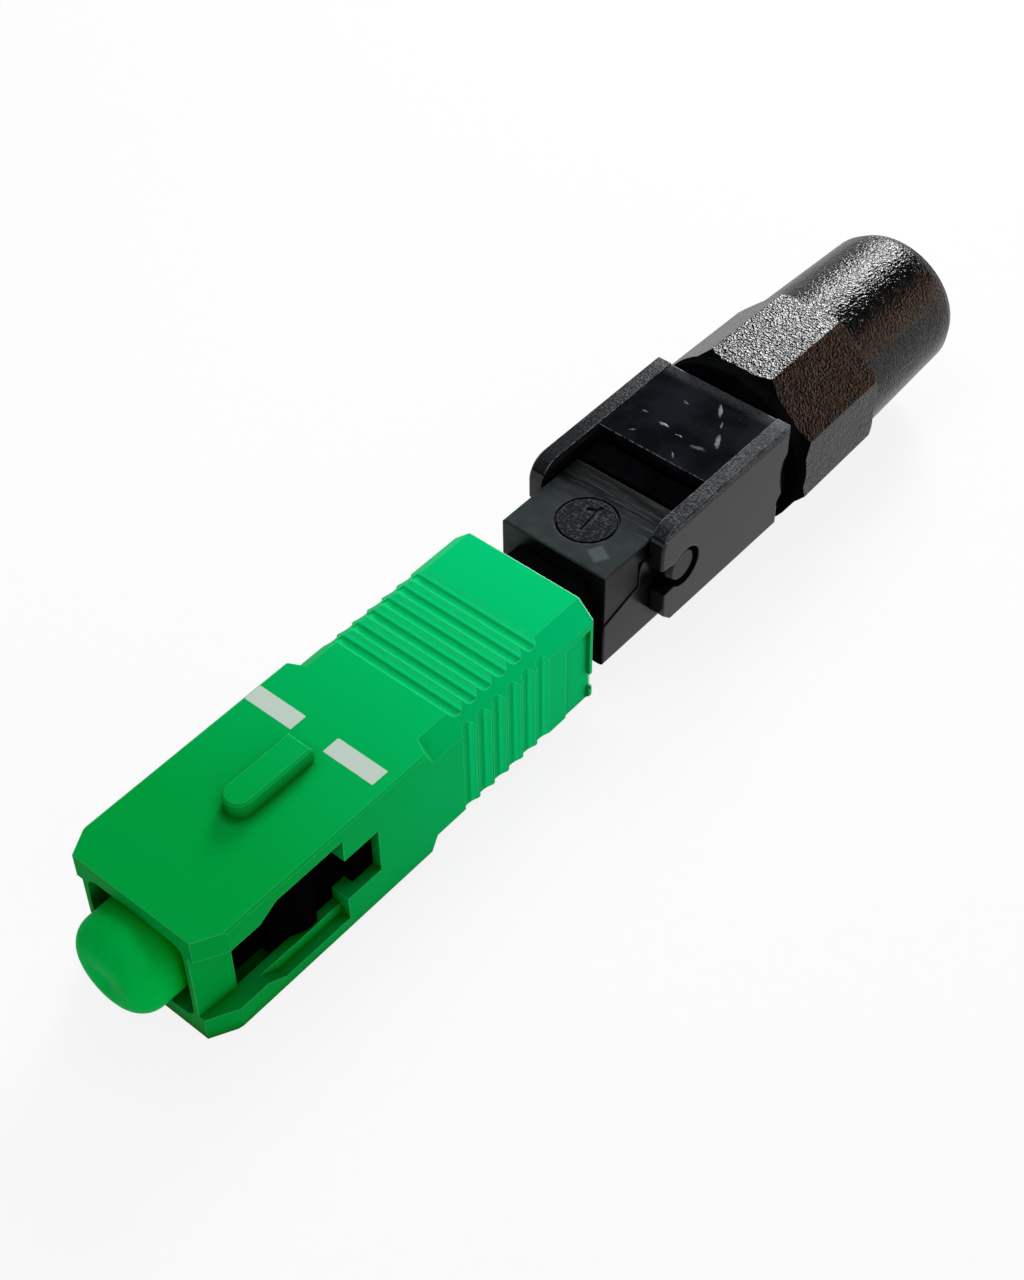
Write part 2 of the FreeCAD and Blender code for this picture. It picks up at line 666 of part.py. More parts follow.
# Main body: one moulding with the barrel that snaps into the plug frame, the neck around the splice, the
# open base with its cheeks and lid pivots, the collar and the threaded stub for the tail nut.
def make_main_body():
    body = new_body("main_body")
    half_base = "base_width/2"
    lug_front, lug_rear = "snap_window_front_at + running_gap", "snap_window_front_at + snap_window_length"

    profile = outline(body, "base_profile", "XZ_Plane", [
        ("base_front_at", "-base_bottom_drop"), (collar_rear, "-base_bottom_drop"),
        (collar_rear, "cheek_high_up"), ("cheek_step_at", "cheek_high_up"),
        ("cheek_step_at", "cheek_low_up"), ("cheek_front_at", "cheek_low_up"),
        ("cheek_front_at", "seam_rear_up"), ("base_front_at", "-seam_front_drop")])
    extrude(body, profile, "base_width", both=True)
    dress(body, "cheek_rounding", "cheek_round",
          lambda e: is_line_along(e, "y") and near(middle(e).x, "cheek_front_at")
          and near(middle(e).z, "cheek_low_up"))
    dress(body, "base_rounding", "base_edge_radius",
          lambda e: is_line_along(e, "x") and near(middle(e).z, "-base_bottom_drop"))
    block(body, "neck", (neck_front, "base_front_at"), both_ways("neck_width/2"),
          ("-neck_bottom_drop", "neck_top_up"))
    dress(body, "neck_chamfer", "neck_edge_chamfer",
          lambda e: is_line_along(e, "x") and near(abs(middle(e).y), "neck_width/2"), kind="Chamfer")
    spin(body, "barrel", [
        ("body_barrel_front_at", "0"), ("body_barrel_front_at", body_barrel_radius),
        (f"{neck_front} + cutter_over/2", body_barrel_radius), (f"{neck_front} + cutter_over/2", "0")])
    lug_root = f"{body_barrel_radius} - 3*running_gap"
    lug = outline(body, "snap_lug", "XZ_Plane", [
        (lug_front, lug_root), (f"{lug_rear} - 4*running_gap", f"{body_barrel_radius} + snap_lug_height"),
        (f"{lug_rear} - running_gap", f"{body_barrel_radius} + snap_lug_height"),
        (f"{lug_rear} - running_gap", lug_root)])
    lug_pad = extrude(body, lug, "snap_window_width - 4*running_gap", both=True)
    mirror(body, [lug_pad], "XY_Plane")

    spin(body, "collar", [
        ("collar_front_at", "0"), ("collar_front_at", "collar_radius"), (collar_rear, "collar_radius"),
        (collar_rear, "stub_radius"),
        (stub_rear, "stub_radius"), (stub_rear, "0")])
    for side, sign in (("near", ""), ("far", "-")):
        pin = disc(body, "pivot_" + side, "XZ_Plane", "pivot_at", "pivot_up", "pivot_radius",
                   lift=f"{sign}({half_base} - cheek_thickness/2)")
        pad = extrude(body, pin, f"{pivot_end} - {half_base} + cheek_thickness/2")
        if sign:
            pad.Reversed = True
            doc.recompute()
    dress(body, "pivot_chamfers", "pivot_chamfer",
          lambda e: near(abs(middle(e).y), pivot_end) and near(e.BoundBox.YLength, "0"),
          kind="Chamfer")

    cheek_inner = f"{half_base} - cheek_thickness"
    room = splice_room_half_width
    block(body, "block_seat", ("cheek_front_at - cutter_over", "cheek_step_at"), both_ways(cheek_inner),
          ("seam_rear_up", "cheek_high_up + cutter_over"), cut=True)
    block(body, "splice_room", ("splice_front_at - seat_gap", "cheek_step_at - running_gap"),
          both_ways(room), ("-(splice_base_height + seat_gap)", "splice_cover_height + 4*running_gap"),
          cut=True)
    clip_room = "clip_sheet + 2*running_gap"
    block(body, "clip_room", ("clip_front_at - running_gap", "clip_front_at + clip_length + running_gap"),
          both_ways(f"splice_width/2 + {clip_room}"),
          (f"-(splice_base_height + {clip_room})", f"splice_cover_height + {clip_room}"), cut=True)
    block(body, "splice_mouth", ("base_front_at", "cheek_step_at - running_gap"), both_ways(room),
          ("0", "cheek_low_up + cutter_over"), cut=True)
    channel_front = "splice_rear_at + guide_length + 4*running_gap"
    block(body, "cable_channel", (channel_front, "collar_front_at - running_gap"),
          both_ways("channel_width/2"), ("-channel_floor_drop", "cheek_high_up + cutter_over"), cut=True)
    spin(body, "axis_bore", [
        ("body_barrel_front_at - cutter_over", "0"),
        ("body_barrel_front_at - cutter_over", f"{body_barrel_radius} - body_barrel_wall"),
        (f"{neck_front} + cutter_over/2", f"{body_barrel_radius} - body_barrel_wall"),
        (f"{neck_front} + cutter_over/2", "guide_mouth_radius"),
        ("splice_front_at", "guide_mouth_radius"), ("splice_front_at", "0")], cut=True)
    spin(body, "guide_hole", [
        ("splice_rear_at", "0"), ("splice_rear_at", "guide_radius + seat_gap"),
        (f"{channel_front} + seat_gap", "guide_radius + seat_gap"),
        (f"{channel_front} + seat_gap", "0")], cut=True)
    spin(body, "cable_bore", [
        ("collar_front_at - cutter_over", "0"), ("collar_front_at - cutter_over", "cable_bore_radius"),
        (f"{stub_rear} - seat_length", "cable_bore_radius"),
        (f"{stub_rear} - seat_length", "collet_nose_radius + running_gap"),
        (stub_rear, "seat_mouth_radius"), (f"{stub_rear} + cutter_over", "seat_mouth_radius"),
        (f"{stub_rear} + cutter_over", "0")], cut=True)

    tooth = outline(body, "grip_tooth", "XZ_Plane", [
        ("rib_press_front_at", "-(channel_floor_drop + tooth_height)"),
        ("rib_press_front_at + tooth_length", "-(channel_floor_drop + tooth_height)"),
        ("rib_press_front_at + tooth_length", "-(channel_floor_drop - tooth_height)"),
        ("rib_press_front_at", "-channel_floor_drop")])
    tooth_pad = extrude(body, tooth, "channel_width + cheek_thickness", both=True)
    repeat(body, [tooth_pad], "X_Axis", "tooth_pitch", "tooth_count")
    margin = "underside_recess_margin"
    block(body, "underside_recess", (f"lid_front_at + {margin}", f"collar_front_at - {margin}"),
          both_ways(f"{half_base} - {margin}"),
          ("-(base_bottom_drop + cutter_over)", "-(base_bottom_drop - underside_recess_depth)"), cut=True)
    return body


# Splice: grooved base and flat cover that grip the two fibre ends, held together by a sprung metal clip.
def make_splice_base():
    body = new_body("splice_base")
    block(body, "base_bar", ("splice_front_at", "splice_rear_at"), both_ways("splice_width/2"),
          ("-splice_base_height", "0"))
    dress(body, "base_bar_chamfer", "splice_edge_chamfer",
          lambda e: is_line_along(e, "x") and near(middle(e).z, "-splice_base_height"), kind="Chamfer")
    vee = outline(body, "vee_groove", "YZ_Plane", [
        ("-groove_half_width", "0"), ("0", "-groove_depth"), ("groove_half_width", "0")],
        lift="splice_front_at")
    extrude(body, vee, "splice_rear_at - splice_front_at", cut=True)
    return body


def make_splice_cover():
    body = new_body("splice_cover")
    block(body, "cover_bar", ("splice_front_at", "splice_rear_at"), both_ways("splice_width/2"),
          ("seat_gap", "splice_cover_height"))
    dress(body, "cover_bar_chamfer", "splice_edge_chamfer",
          lambda e: is_line_along(e, "x") and near(middle(e).z, "splice_cover_height"), kind="Chamfer")
    block(body, "cover_groove", ("splice_front_at - cutter_over", "splice_rear_at + cutter_over"),
          both_ways("groove_half_width"), ("0", "seat_gap + cover_groove_depth"), cut=True)
    return body


def make_splice_clip():
    body = new_body("splice_clip")
    inner = "splice_width/2 + seat_gap"
    low, high = "-(splice_base_height + seat_gap)", "splice_cover_height + seat_gap"
    length = ("clip_front_at", "clip_front_at + clip_length")
    over = ("clip_front_at - cutter_over", "clip_front_at + clip_length + cutter_over")
    block(body, "clip_outside", length, both_ways(f"{inner} + clip_sheet"),
          (f"{low} - clip_sheet", f"{high} + clip_sheet"))
    dress(body, "clip_bends", "1.5*clip_sheet", lambda e: is_line_along(e, "x"))
    block(body, "clip_inside", over, both_ways(inner), (low, high), cut=True)
    block(body, "clip_mouth", over, (inner, f"{inner} + clip_sheet + cutter_over"),
          both_ways("clip_opening/2"), cut=True)
    return body


# Fibre guide: small funnel that leads the stripped fibre into the splice.
def make_fibre_guide():
    body = new_body("fibre_guide")
    front, rear = "splice_rear_at + 2*running_gap", "splice_rear_at + guide_length"
    spin(body, "guide_turned", [(front, "0"), (front, "guide_radius"), (rear, "guide_radius"), (rear, "0")])
    spin(body, "guide_funnel", [
        (f"{front} - cutter_over", "0"), (f"{front} - cutter_over", "guide_hole_radius"),
        (f"{front} + guide_length/4", "guide_hole_radius"), (rear, "guide_mouth_radius"),
        (rear, "0")], cut=True)
    return body


# Press block: pushed down to close the splice. Its top overhangs the body's cheeks, and a plain number in
# a ring shows the order of use.
def make_press_block():
    body = new_body("press_block")
    cheek_inner = "base_width/2 - cheek_thickness - running_gap"
    front, gap = "(base_front_at + running_gap)", "seat_gap"
    profile = outline(body, "block_profile", "XZ_Plane", [
        (front, f"-seam_front_drop + {gap}"),
        ("cheek_front_at - running_gap", f"seam_rear_up + {gap}"),
        ("cheek_front_at - running_gap", f"cheek_low_up + {gap}"),
        ("block_rear_at", f"cheek_low_up + {gap}"), ("block_rear_at", "block_top_up"),
        (front, "block_top_up")])
    extrude(body, profile, "base_width - 2*block_side_inset", both=True)
    dress(body, "block_edges", "block_edge_chamfer",
          lambda e: near(middle(e).z, "block_top_up"), kind="Chamfer")
    block(body, "block_foot", ("cheek_front_at - 2*running_gap", "block_rear_at - running_gap"),
          both_ways(cheek_inner), (f"seam_rear_up + {gap}", f"cheek_low_up + 2*{gap}"))
    block(body, "block_slot", (f"{front} - cutter_over", "block_rear_at + cutter_over"),
          both_ways(splice_room_half_width), ("-(seam_front_drop + cutter_over)", splice_top), cut=True)
    ring = disc(body, "mark_ring", "XY_Plane", "mark_at", "0", "mark_radius",
                lift="block_top_up - mark_depth")
    inner = "mark_radius - mark_ring_width"
    index = ring.addGeometry(Part.Circle(FreeCAD.Vector(measure("mark_at"), 0, 0), FreeCAD.Vector(0, 0, 1),
                                         measure(inner)))
    ring.addConstraint(Sketcher.Constraint("Coincident", index, 3, 0, 3))
    radius = ring.addConstraint(Sketcher.Constraint("Radius", index, measure(inner)))
    ring.setExpression(f"Constraints[{radius}]", bound(inner))
    extrude(body, ring, "mark_depth + cutter_over", cut=True)
    return body


# Lock cover: flip lid on two snap-in pivots. Its arms straddle the body and its plate presses the cable.
def make_lock_cover():
    body = new_body("lock_cover")
    hole_radius = "pivot_radius + lid_hole_gap"
    plate_underside = "lid_top_up - lid_plate_thickness"
    profile = outline(body, "arm_profile", "XZ_Plane", [
        ("lid_front_at + lid_corner_radius/2", "-(lid_bottom_drop - lid_corner_radius)"),
        ("lid_front_at + 1.5*lid_corner_radius", "-lid_bottom_drop"),
        ("lid_rear_at - lid_rear_step", "-lid_bottom_drop"),
        ("lid_rear_at - lid_rear_step", "-lid_step_drop"),
        ("lid_rear_at", "-(lid_step_drop - lid_step_slope)"),
        ("lid_rear_at", "lid_top_up"), ("lid_front_at", "lid_top_up"),
        ("lid_front_at", "pivot_up"), ("lid_front_at + lid_corner_radius/2", "pivot_up")])
    extrude(body, profile, f"2*{lid_outer}", both=True)
    dress(body, "arm_front_rounding", "lid_front_round",
          lambda e: is_line_along(e, "y") and near(middle(e).x, "lid_front_at")
          and near(middle(e).z, "lid_top_up"))
    dress(body, "lid_long_edges", "lid_edge_chamfer",
          lambda e: near(abs(middle(e).y), lid_outer) and middle(e).z > measure("pivot_up + pivot_radius"),
          kind="Chamfer")
    block(body, "between_arms", ("lid_front_at - cutter_over", "lid_rear_at + cutter_over"),
          both_ways(lid_inner),
          ("-(lid_bottom_drop + cutter_over)", plate_underside), cut=True)
    block(body, "thumb_window", ("lid_front_at - cutter_over", "lid_plate_front_at"), both_ways(lid_inner),
          ("0", "lid_top_up + cutter_over"), cut=True)
    block(body, "plate_sink", ("lid_plate_front_at - cutter_over", "lid_rear_at + cutter_over"),
          both_ways(lid_inner), ("lid_top_up - lid_plate_sink", "lid_top_up + cutter_over"), cut=True)
    hole = disc(body, "pivot_hole", "XZ_Plane", "pivot_at", "pivot_up", hole_radius)
    extrude(body, hole, f"2*({lid_outer} + cutter_over)", both=True, cut=True)
    slot = outline(body, "snap_slot", "XZ_Plane", [
        ("lid_front_at - cutter_over", "slot_mouth_top_up"), ("lid_front_at", "slot_mouth_top_up"),
        ("pivot_at", "pivot_up + slot_neck_half_height"), ("pivot_at", "pivot_up - slot_neck_half_height"),
        ("lid_front_at", "-slot_mouth_bottom_drop"),
        ("lid_front_at - cutter_over", "-slot_mouth_bottom_drop")])
    extrude(body, slot, f"2*({lid_outer} + cutter_over)", both=True, cut=True)
    block(body, "press_rib", ("rib_press_front_at", "rib_press_front_at + rib_press_length"),
          both_ways("rib_press_width/2"),
          (f"{plate_underside} - rib_press_height", f"{plate_underside} + seat_gap"))
    return body


# Collet: slotted sleeve whose cone is pushed into the stub's seat and closes on the cable.
def make_collet():
    body = new_body("collet")
    front = f"({stub_rear} - seat_length + 2*running_gap)"
    cone_rear = f"({stub_rear} + collet_cone_length/2)"
    rim_rear = "(nut_room_end_at - running_gap)"
    spin(body, "collet_turned", [
        (front, "0"), (front, "collet_nose_radius - 2*running_gap"),
        (stub_rear, "collet_cone_radius - 2*running_gap"),
        (cone_rear, "collet_cone_radius - 2*running_gap"), (cone_rear, "collet_neck_radius"),
        (f"{rim_rear} - collet_rim_length", "collet_neck_radius"),
        (f"{rim_rear} - collet_rim_length", "collet_rim_radius"),
        (rim_rear, "collet_rim_radius"), (rim_rear, "0")])
    spin(body, "collet_bore", [
        (f"{front} - cutter_over", "0"), (f"{front} - cutter_over", "collet_bore_radius"),
        (f"{rim_rear} + cutter_over", "collet_bore_radius"), (f"{rim_rear} + cutter_over", "0")], cut=True)
    split = block(body, "collet_slot", (f"{front} - cutter_over", f"{front} + collet_slot_length"),
                  both_ways("collet_slot_width/2"), ("0", "collet_rim_radius + cutter_over"), cut=True)
    around(body, [split], 4)
    return body


# Tail nut: eight-sided grip in front, tapered round barrel behind, threaded onto the body's stub.
def make_tail_nut():
    body = new_body("tail_nut")
    octagon_rear = f"({nut_front} + nut_octagon_length)"
    sketches = []
    for place, at, flats in (("front", nut_front, "nut_flats/2"), ("rear", octagon_rear, "nut_flats_rear/2")):
        corner = f"{flats}*tan(22.5 deg)"
        corners = [(flats, corner), (corner, flats), (f"-{corner}", flats), (f"-{flats}", corner),
                   (f"-{flats}", f"-{corner}"), (f"-{corner}", f"-{flats}"), (corner, f"-{flats}"),
                   (flats, f"-{corner}")]
        sketches.append(outline(body, "octagon_" + place, "YZ_Plane", corners, lift=at))
    loft = body.newObject("PartDesign::AdditiveLoft", "octagon_loft")
    loft.Profile = sketches[0]
    loft.Sections = [sketches[1]]
    loft.Ruled = True
    doc.recompute()
    outer = "nut_flats/2"
    for place, at, inward in (("front", nut_front, "+"), ("rear", octagon_rear, "-")):
        spin(body, "corner_cut_" + place, [
            (at, f"{outer} + nut_corner_cut/4"),
            (f"{at} {inward} nut_corner_cut", f"{outer}/cos(22.5 deg) + seat_gap"),
            (f"{at} {inward} nut_corner_cut", f"{outer} + cutter_over"),
            (at, f"{outer} + cutter_over")], cut=True)
    spin(body, "barrel_turned", [
        (f"{octagon_rear} - cutter_over", "0"), (f"{octagon_rear} - cutter_over", "nut_barrel_radius"),
        (octagon_rear, "nut_barrel_radius"),
        *reversed(rounded_rim(nut_rear, "-", "nut_rear_radius", "nut_rear_round")), (nut_rear, "0")])
    thread = "stub_radius + thread_gap"
    spin(body, "nut_bore", [
        (f"{nut_front} - cutter_over", "0"), (f"{nut_front} - cutter_over", thread),
        (f"{nut_front} + nut_thread_length", thread), (f"{nut_front} + nut_thread_length", "nut_room_radius"),
        ("nut_room_end_at", "nut_room_radius"), ("nut_room_end_at", "cable_entry_radius"),
        (f"{nut_rear} - cable_entry_chamfer", "cable_entry_radius"),
        (f"{nut_rear} + seat_gap", "cable_entry_radius + cable_entry_chamfer"),
        (f"{nut_rear} + seat_gap", "0")], cut=True)
    return body


pieces = [
    make_outer_housing(), make_plug_frame(), make_ferrule(), make_fibre_stub(), make_ferrule_holder(),
    make_ferrule_spring(), make_dust_cap(), make_main_body(), make_splice_base(), make_splice_cover(),
    make_splice_clip(), make_fibre_guide(), make_press_block(), make_lock_cover(), make_collet(),
    make_tail_nut()]
doc.recompute()
for item in doc.Objects:
    if "Invalid" in item.State or "Error" in item.State:
        raise RuntimeError(item.Name + " failed")
os.makedirs("parts", exist_ok=True)
for piece in pieces:
    if piece.Shape.isNull() or not piece.Shape.isValid():
        raise RuntimeError(piece.Label + " is not a valid shape")
    piece.Shape.exportStep(f"parts/{piece.Label}.step")
    print(piece.Label, round(piece.Shape.Volume, 3), len(piece.Shape.Solids))
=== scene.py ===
# Finishes, fine detail, light and camera for a field-fitted SC/APC fibre connector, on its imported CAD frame.
import math
import bmesh
import bpy
from mathutils import Matrix, Vector


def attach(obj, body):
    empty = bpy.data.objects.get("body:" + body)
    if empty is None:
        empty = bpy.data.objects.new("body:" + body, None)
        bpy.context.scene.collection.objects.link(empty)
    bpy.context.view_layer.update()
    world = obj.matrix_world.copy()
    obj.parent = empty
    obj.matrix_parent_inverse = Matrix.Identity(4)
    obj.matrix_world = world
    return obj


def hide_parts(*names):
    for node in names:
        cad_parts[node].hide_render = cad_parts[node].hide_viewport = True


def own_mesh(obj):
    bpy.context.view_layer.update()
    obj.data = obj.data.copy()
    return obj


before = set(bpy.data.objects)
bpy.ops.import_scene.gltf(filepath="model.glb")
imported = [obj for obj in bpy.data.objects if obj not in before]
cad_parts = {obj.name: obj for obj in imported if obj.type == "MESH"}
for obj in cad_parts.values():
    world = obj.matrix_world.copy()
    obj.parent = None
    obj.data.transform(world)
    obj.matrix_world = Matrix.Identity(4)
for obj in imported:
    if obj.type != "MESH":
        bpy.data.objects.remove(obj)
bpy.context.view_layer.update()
mm = 0.001
print("frame loaded:", len(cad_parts), "nodes")


def linear(hexText):
    # sRGB hex to the linear colour that shaders take
    channels = [int(hexText[i:i + 2], 16) / 255 for i in (1, 3, 5)]
    return [c / 12.92 if c <= 0.04045 else ((c + 0.055) / 1.055) ** 2.4 for c in channels] + [1.0]


def addNode(tree, kind, inputs=None, out=0, **settings):
    # one shader node with its settings; an input is a plain value, or another node's socket to link from
    node = tree.nodes.new("ShaderNode" + kind)
    for name, value in settings.items():
        setattr(node, name, value)
    for socket, value in (inputs or {}).items():
        if isinstance(value, bpy.types.NodeSocket):
            tree.links.new(value, node.inputs[socket])
        else:
            node.inputs[socket].default_value = value
    return node.outputs[out] if node.outputs else None


def startMaterial(name):
    material = bpy.data.materials.new(name)
    material.use_nodes = True
    material.node_tree.nodes.clear()
    return material, material.node_tree, addNode(material.node_tree, "TexCoord", out="Object")


def finishMaterial(material, inputs):
    shader = addNode(material.node_tree, "BsdfPrincipled", inputs)
    addNode(material.node_tree, "OutputMaterial", {"Surface": shader})
    return material


def span(value, low, high, start=0.0, end=1.0):
    # what a MapRange node takes: as value goes from low to high, it gives start to end
    return {"Value": value, "From Min": low, "From Max": high, "To Min": start, "To Max": end}


def blotches(tree, place, size, low=0.3, high=0.7, start=0.0, end=1.0, detail=3.0):
    # noise with spots of one size in metres: start where it lies under low, end where it lies over high
    cloud = addNode(tree, "TexNoise", {"Vector": place, "Scale": 1 / size, "Detail": detail})
    return addNode(tree, "MapRange", span(cloud, low, high, start, end))


def tinted(tree, layers, colour):
    # colour with other colours laid over it in turn, each by its share
    for share, layer in layers:
        colour = addNode(tree, "Mix", {0: share, 6: colour, 7: linear(layer)}, 2, data_type="RGBA")
    return colour


def times(tree, first, *others):
    # the product of several shares
    for other in others:
        first = addNode(tree, "Math", {0: first, 1: other}, operation="MULTIPLY")
    return first


edgeLook = {"sharp": (0.97, 0.86), "outer": (0.70, 0.9), "bevelSamples": 6, "openSamples": 8}


def edgesAndCreases(tree, radius, reach):
    # a moulded edge is never knife sharp: the normal is rounded there, and outer edges are told from creases
    rounded = addNode(tree, "Bevel", {"Radius": radius}, samples=edgeLook["bevelSamples"])
    flat = addNode(tree, "NewGeometry", out="Normal")
    bend = addNode(tree, "VectorMath", {0: rounded, 1: flat}, "Value", operation="DOT_PRODUCT")
    open_ = addNode(tree, "AmbientOcclusion", {"Distance": reach}, "AO", samples=edgeLook["openSamples"])
    edge = times(tree, addNode(tree, "MapRange", span(bend, *edgeLook["sharp"])),
                 addNode(tree, "MapRange", span(open_, *edgeLook["outer"])))
    return rounded, edge, open_


# PBT, injection moulded in a spark-eroded tool: a dense matt green over a very fine even grain. Its colour holds
# painted light:
# painted paler towards the rear, painted shade in its creases, yellower there, and painted highlights along its
# outer edges and rear rim
greenLook = {"front": "#00a441", "rear": "#00c876", "rearwardLight": (5 * mm, 27 * mm), "paintedShadeColour": "#0a7404",
             "creaseReach": 0.9 * mm, "paintedShadeMask": (0.95, 0.43), "rounding": 0.07 * mm, "edge": "#6ceca6",
             "edgeHighlightShare": 0.6, "rim": "#b9f5d2", "rimSpan": (26.46 * mm, 26.52 * mm, 0, 0.75),
             "grain": 0.09 * mm, "grainDepth": 0.003 * mm, "grainStrength": 0.5, "cloud": 5 * mm,
             "rough": (0.1, 0.9, 0.28, 0.42), "ior": 1.5, "gloss": 0.006}
# Painted light in the grip's grooves, for light bouncing about in them: slopes painted lighter, those on top more,
# with a thin painted dark line between. fore, back and line go by how far a slope faces rearwards, and groove and
# deep by how open the place is.
gripLook = {"from": (16.72 * mm, 16.76 * mm), "to": (23.18 * mm, 23.14 * mm), "upper": (3.2 * mm, 3.25 * mm, 0.5),
            "calm": (0, 1, 1, 0.15), "frontSlopeLight": "#16f59e", "fore": (-0.42, -0.6, 0, 0.85),
            "rearSlopeLight": "#00e68e", "back": (-0.25, 0.1, 0, 0.38), "groove": (0.93, 0.85), "line": -0.33,
            "lineWidth": 0.10, "deep": (0.85, 0.7, 0, 0.8)}
housingGreen, tree, place = startMaterial("moulded_green_pbt")
rounded, edge, open_ = edgesAndCreases(tree, greenLook["rounding"], greenLook["creaseReach"])
along, height = [addNode(tree, "SeparateXYZ", {"Vector": place}, axis) for axis in "XZ"]
slope = addNode(tree, "SeparateXYZ", {"Vector": addNode(tree, "NewGeometry", out="Normal")}, "X")
# painted light: the green is painted paler towards the rear, where the lamps light it more
rearwardLight = addNode(tree, "MapRange", span(along, *greenLook["rearwardLight"]))
# painted highlight: a pale line along the housing's rear rim
rim = addNode(tree, "MapRange", span(along, *greenLook["rimSpan"]))
grip = times(tree, *(addNode(tree, "MapRange", span(along, *gripLook[end])) for end in ("from", "to")))
upper = times(tree, grip, addNode(tree, "MapRange", span(height, *gripLook["upper"])))
# painted light: slopes in the grip that face forwards are painted paler
fore = times(tree, upper, addNode(tree, "MapRange", span(slope, *gripLook["fore"])))
back = times(tree, upper, addNode(tree, "MapRange", span(open_, *gripLook["groove"])),
             addNode(tree, "MapRange", span(slope, *gripLook["back"])))
# painted shade: a thin dark line along the bottom of each groove
line = addNode(tree, "Math", {0: slope, 1: gripLook["line"], 2: gripLook["lineWidth"]}, operation="COMPARE")
line = times(tree, grip, line, addNode(tree, "MapRange", span(open_, *gripLook["deep"])))
# painted shade: a darker, yellower green laid where the surface is hemmed in, weaker in the grip
paintedShadeMask = times(tree, addNode(tree, "MapRange", span(open_, *greenLook["paintedShadeMask"])),
             addNode(tree, "MapRange", span(grip, *gripLook["calm"])))
grain = blotches(tree, place, greenLook["grain"], 0, 1)
# painted highlight: the outer edges are painted a paler green
finishMaterial(housingGreen, {
    "Base Color": tinted(tree, (
        (rearwardLight, greenLook["rear"]), (paintedShadeMask, greenLook["paintedShadeColour"]), (fore, gripLook["frontSlopeLight"]),
        (back, gripLook["rearSlopeLight"]), (line, greenLook["paintedShadeColour"]),
        (times(tree, edge, greenLook["edgeHighlightShare"]), greenLook["edge"]), (rim, greenLook["rim"])),
        linear(greenLook["front"])),
    "Roughness": blotches(tree, place, greenLook["cloud"], *greenLook["rough"]), "IOR": greenLook["ior"],
    "Specular IOR Level": greenLook["gloss"],
    "Normal": addNode(tree, "Bump", {"Height": grain, "Distance": greenLook["grainDepth"],
                                     "Strength": greenLook["grainStrength"], "Normal": rounded})})

# Soft PVC, dipped and translucent: light spreads inside it, and its skin has faint waves; where it is hemmed in it
# has painted shade, a darker yellower green
capLook = {"colour": "#00bd44", "pale": "#00c658", "paintedShadeColour": "#069a00", "creaseReach": 1.6 * mm,
           "paintedShadeMask": (0.95, 0.45), "wave": 0.9 * mm, "skin": (0.2, 0.8), "skinDepth": 0.02 * mm,
           "skinStrength": 0.3, "rough": (0.3, 0.7, 0.30, 0.40), "ior": 1.5, "gloss": 0.004, "inside": 0.6,
           "insideTint": (0.02, 1.0, 0.3), "insideReach": 0.8 * mm}
softCap, tree, place = startMaterial("soft_pvc_green")
open_ = addNode(tree, "AmbientOcclusion", {"Distance": capLook["creaseReach"]}, "AO",
                samples=edgeLook["openSamples"])
# painted shade: a darker, yellower green where the cap is hemmed in
paintedShadeMask = addNode(tree, "MapRange", span(open_, *capLook["paintedShadeMask"]))
skin = blotches(tree, place, capLook["wave"], *capLook["skin"])
finishMaterial(softCap, {
    "Base Color": tinted(tree, ((skin, capLook["pale"]), (paintedShadeMask, capLook["paintedShadeColour"])), linear(capLook["colour"])),
    "Roughness": blotches(tree, place, capLook["wave"], *capLook["rough"]), "IOR": capLook["ior"],
    "Specular IOR Level": capLook["gloss"], "Subsurface Weight": capLook["inside"],
    "Subsurface Radius": capLook["insideTint"], "Subsurface Scale": capLook["insideReach"],
    "Normal": addNode(tree, "Bump", {"Height": skin, "Distance": capLook["skinDepth"],
                                     "Strength": capLook["skinStrength"]})})

# Pad-printed ink: matt and chalky, thin enough for the green to show through in specks
inkLook = {"colour": "#c4d6ca", "green": "#4fae7e", "speck": 0.07 * mm, "thin": (0.30, 0.42, 0.25, 0),
           "depth": 0.004 * mm, "strength": 0.6, "rough": 0.6, "ior": 1.48, "gloss": 0.2}
whiteInk, tree, place = startMaterial("pad_printed_white_ink")
specks = blotches(tree, place, inkLook["speck"], *inkLook["thin"])
finishMaterial(whiteInk, {
    "Base Color": tinted(tree, ((specks, inkLook["green"]),), linear(inkLook["colour"])),
    "Roughness": inkLook["rough"], "IOR": inkLook["ior"], "Specular IOR Level": inkLook["gloss"],
    "Normal": addNode(tree, "Bump", {"Height": specks, "Distance": inkLook["depth"],
                                     "Strength": inkLook["strength"]})})

# Nylon 66 filled with glass, moulded black: it mirrors pale surroundings as a smoky grey, and its gloss is taken
# out in gaps, a painted shade that keeps them black
# the pale grey here serves real nicks and scuffs, and also painted highlights and sheen
blackLook = {"colour": "#050506", "cloud": "#0b0c0e", "broad": 1.8 * mm, "clouds": (0.35, 0.65),
             "wearAndHighlight": "#8f9498", "rounding": 0.12 * mm, "chip": 0.3 * mm, "chips": (0.38, 0.58),
             "gapReach": 1.8 * mm, "gap": (0.45, 0.8), "patches": (0.3, 0.7), "ior": 1.53}


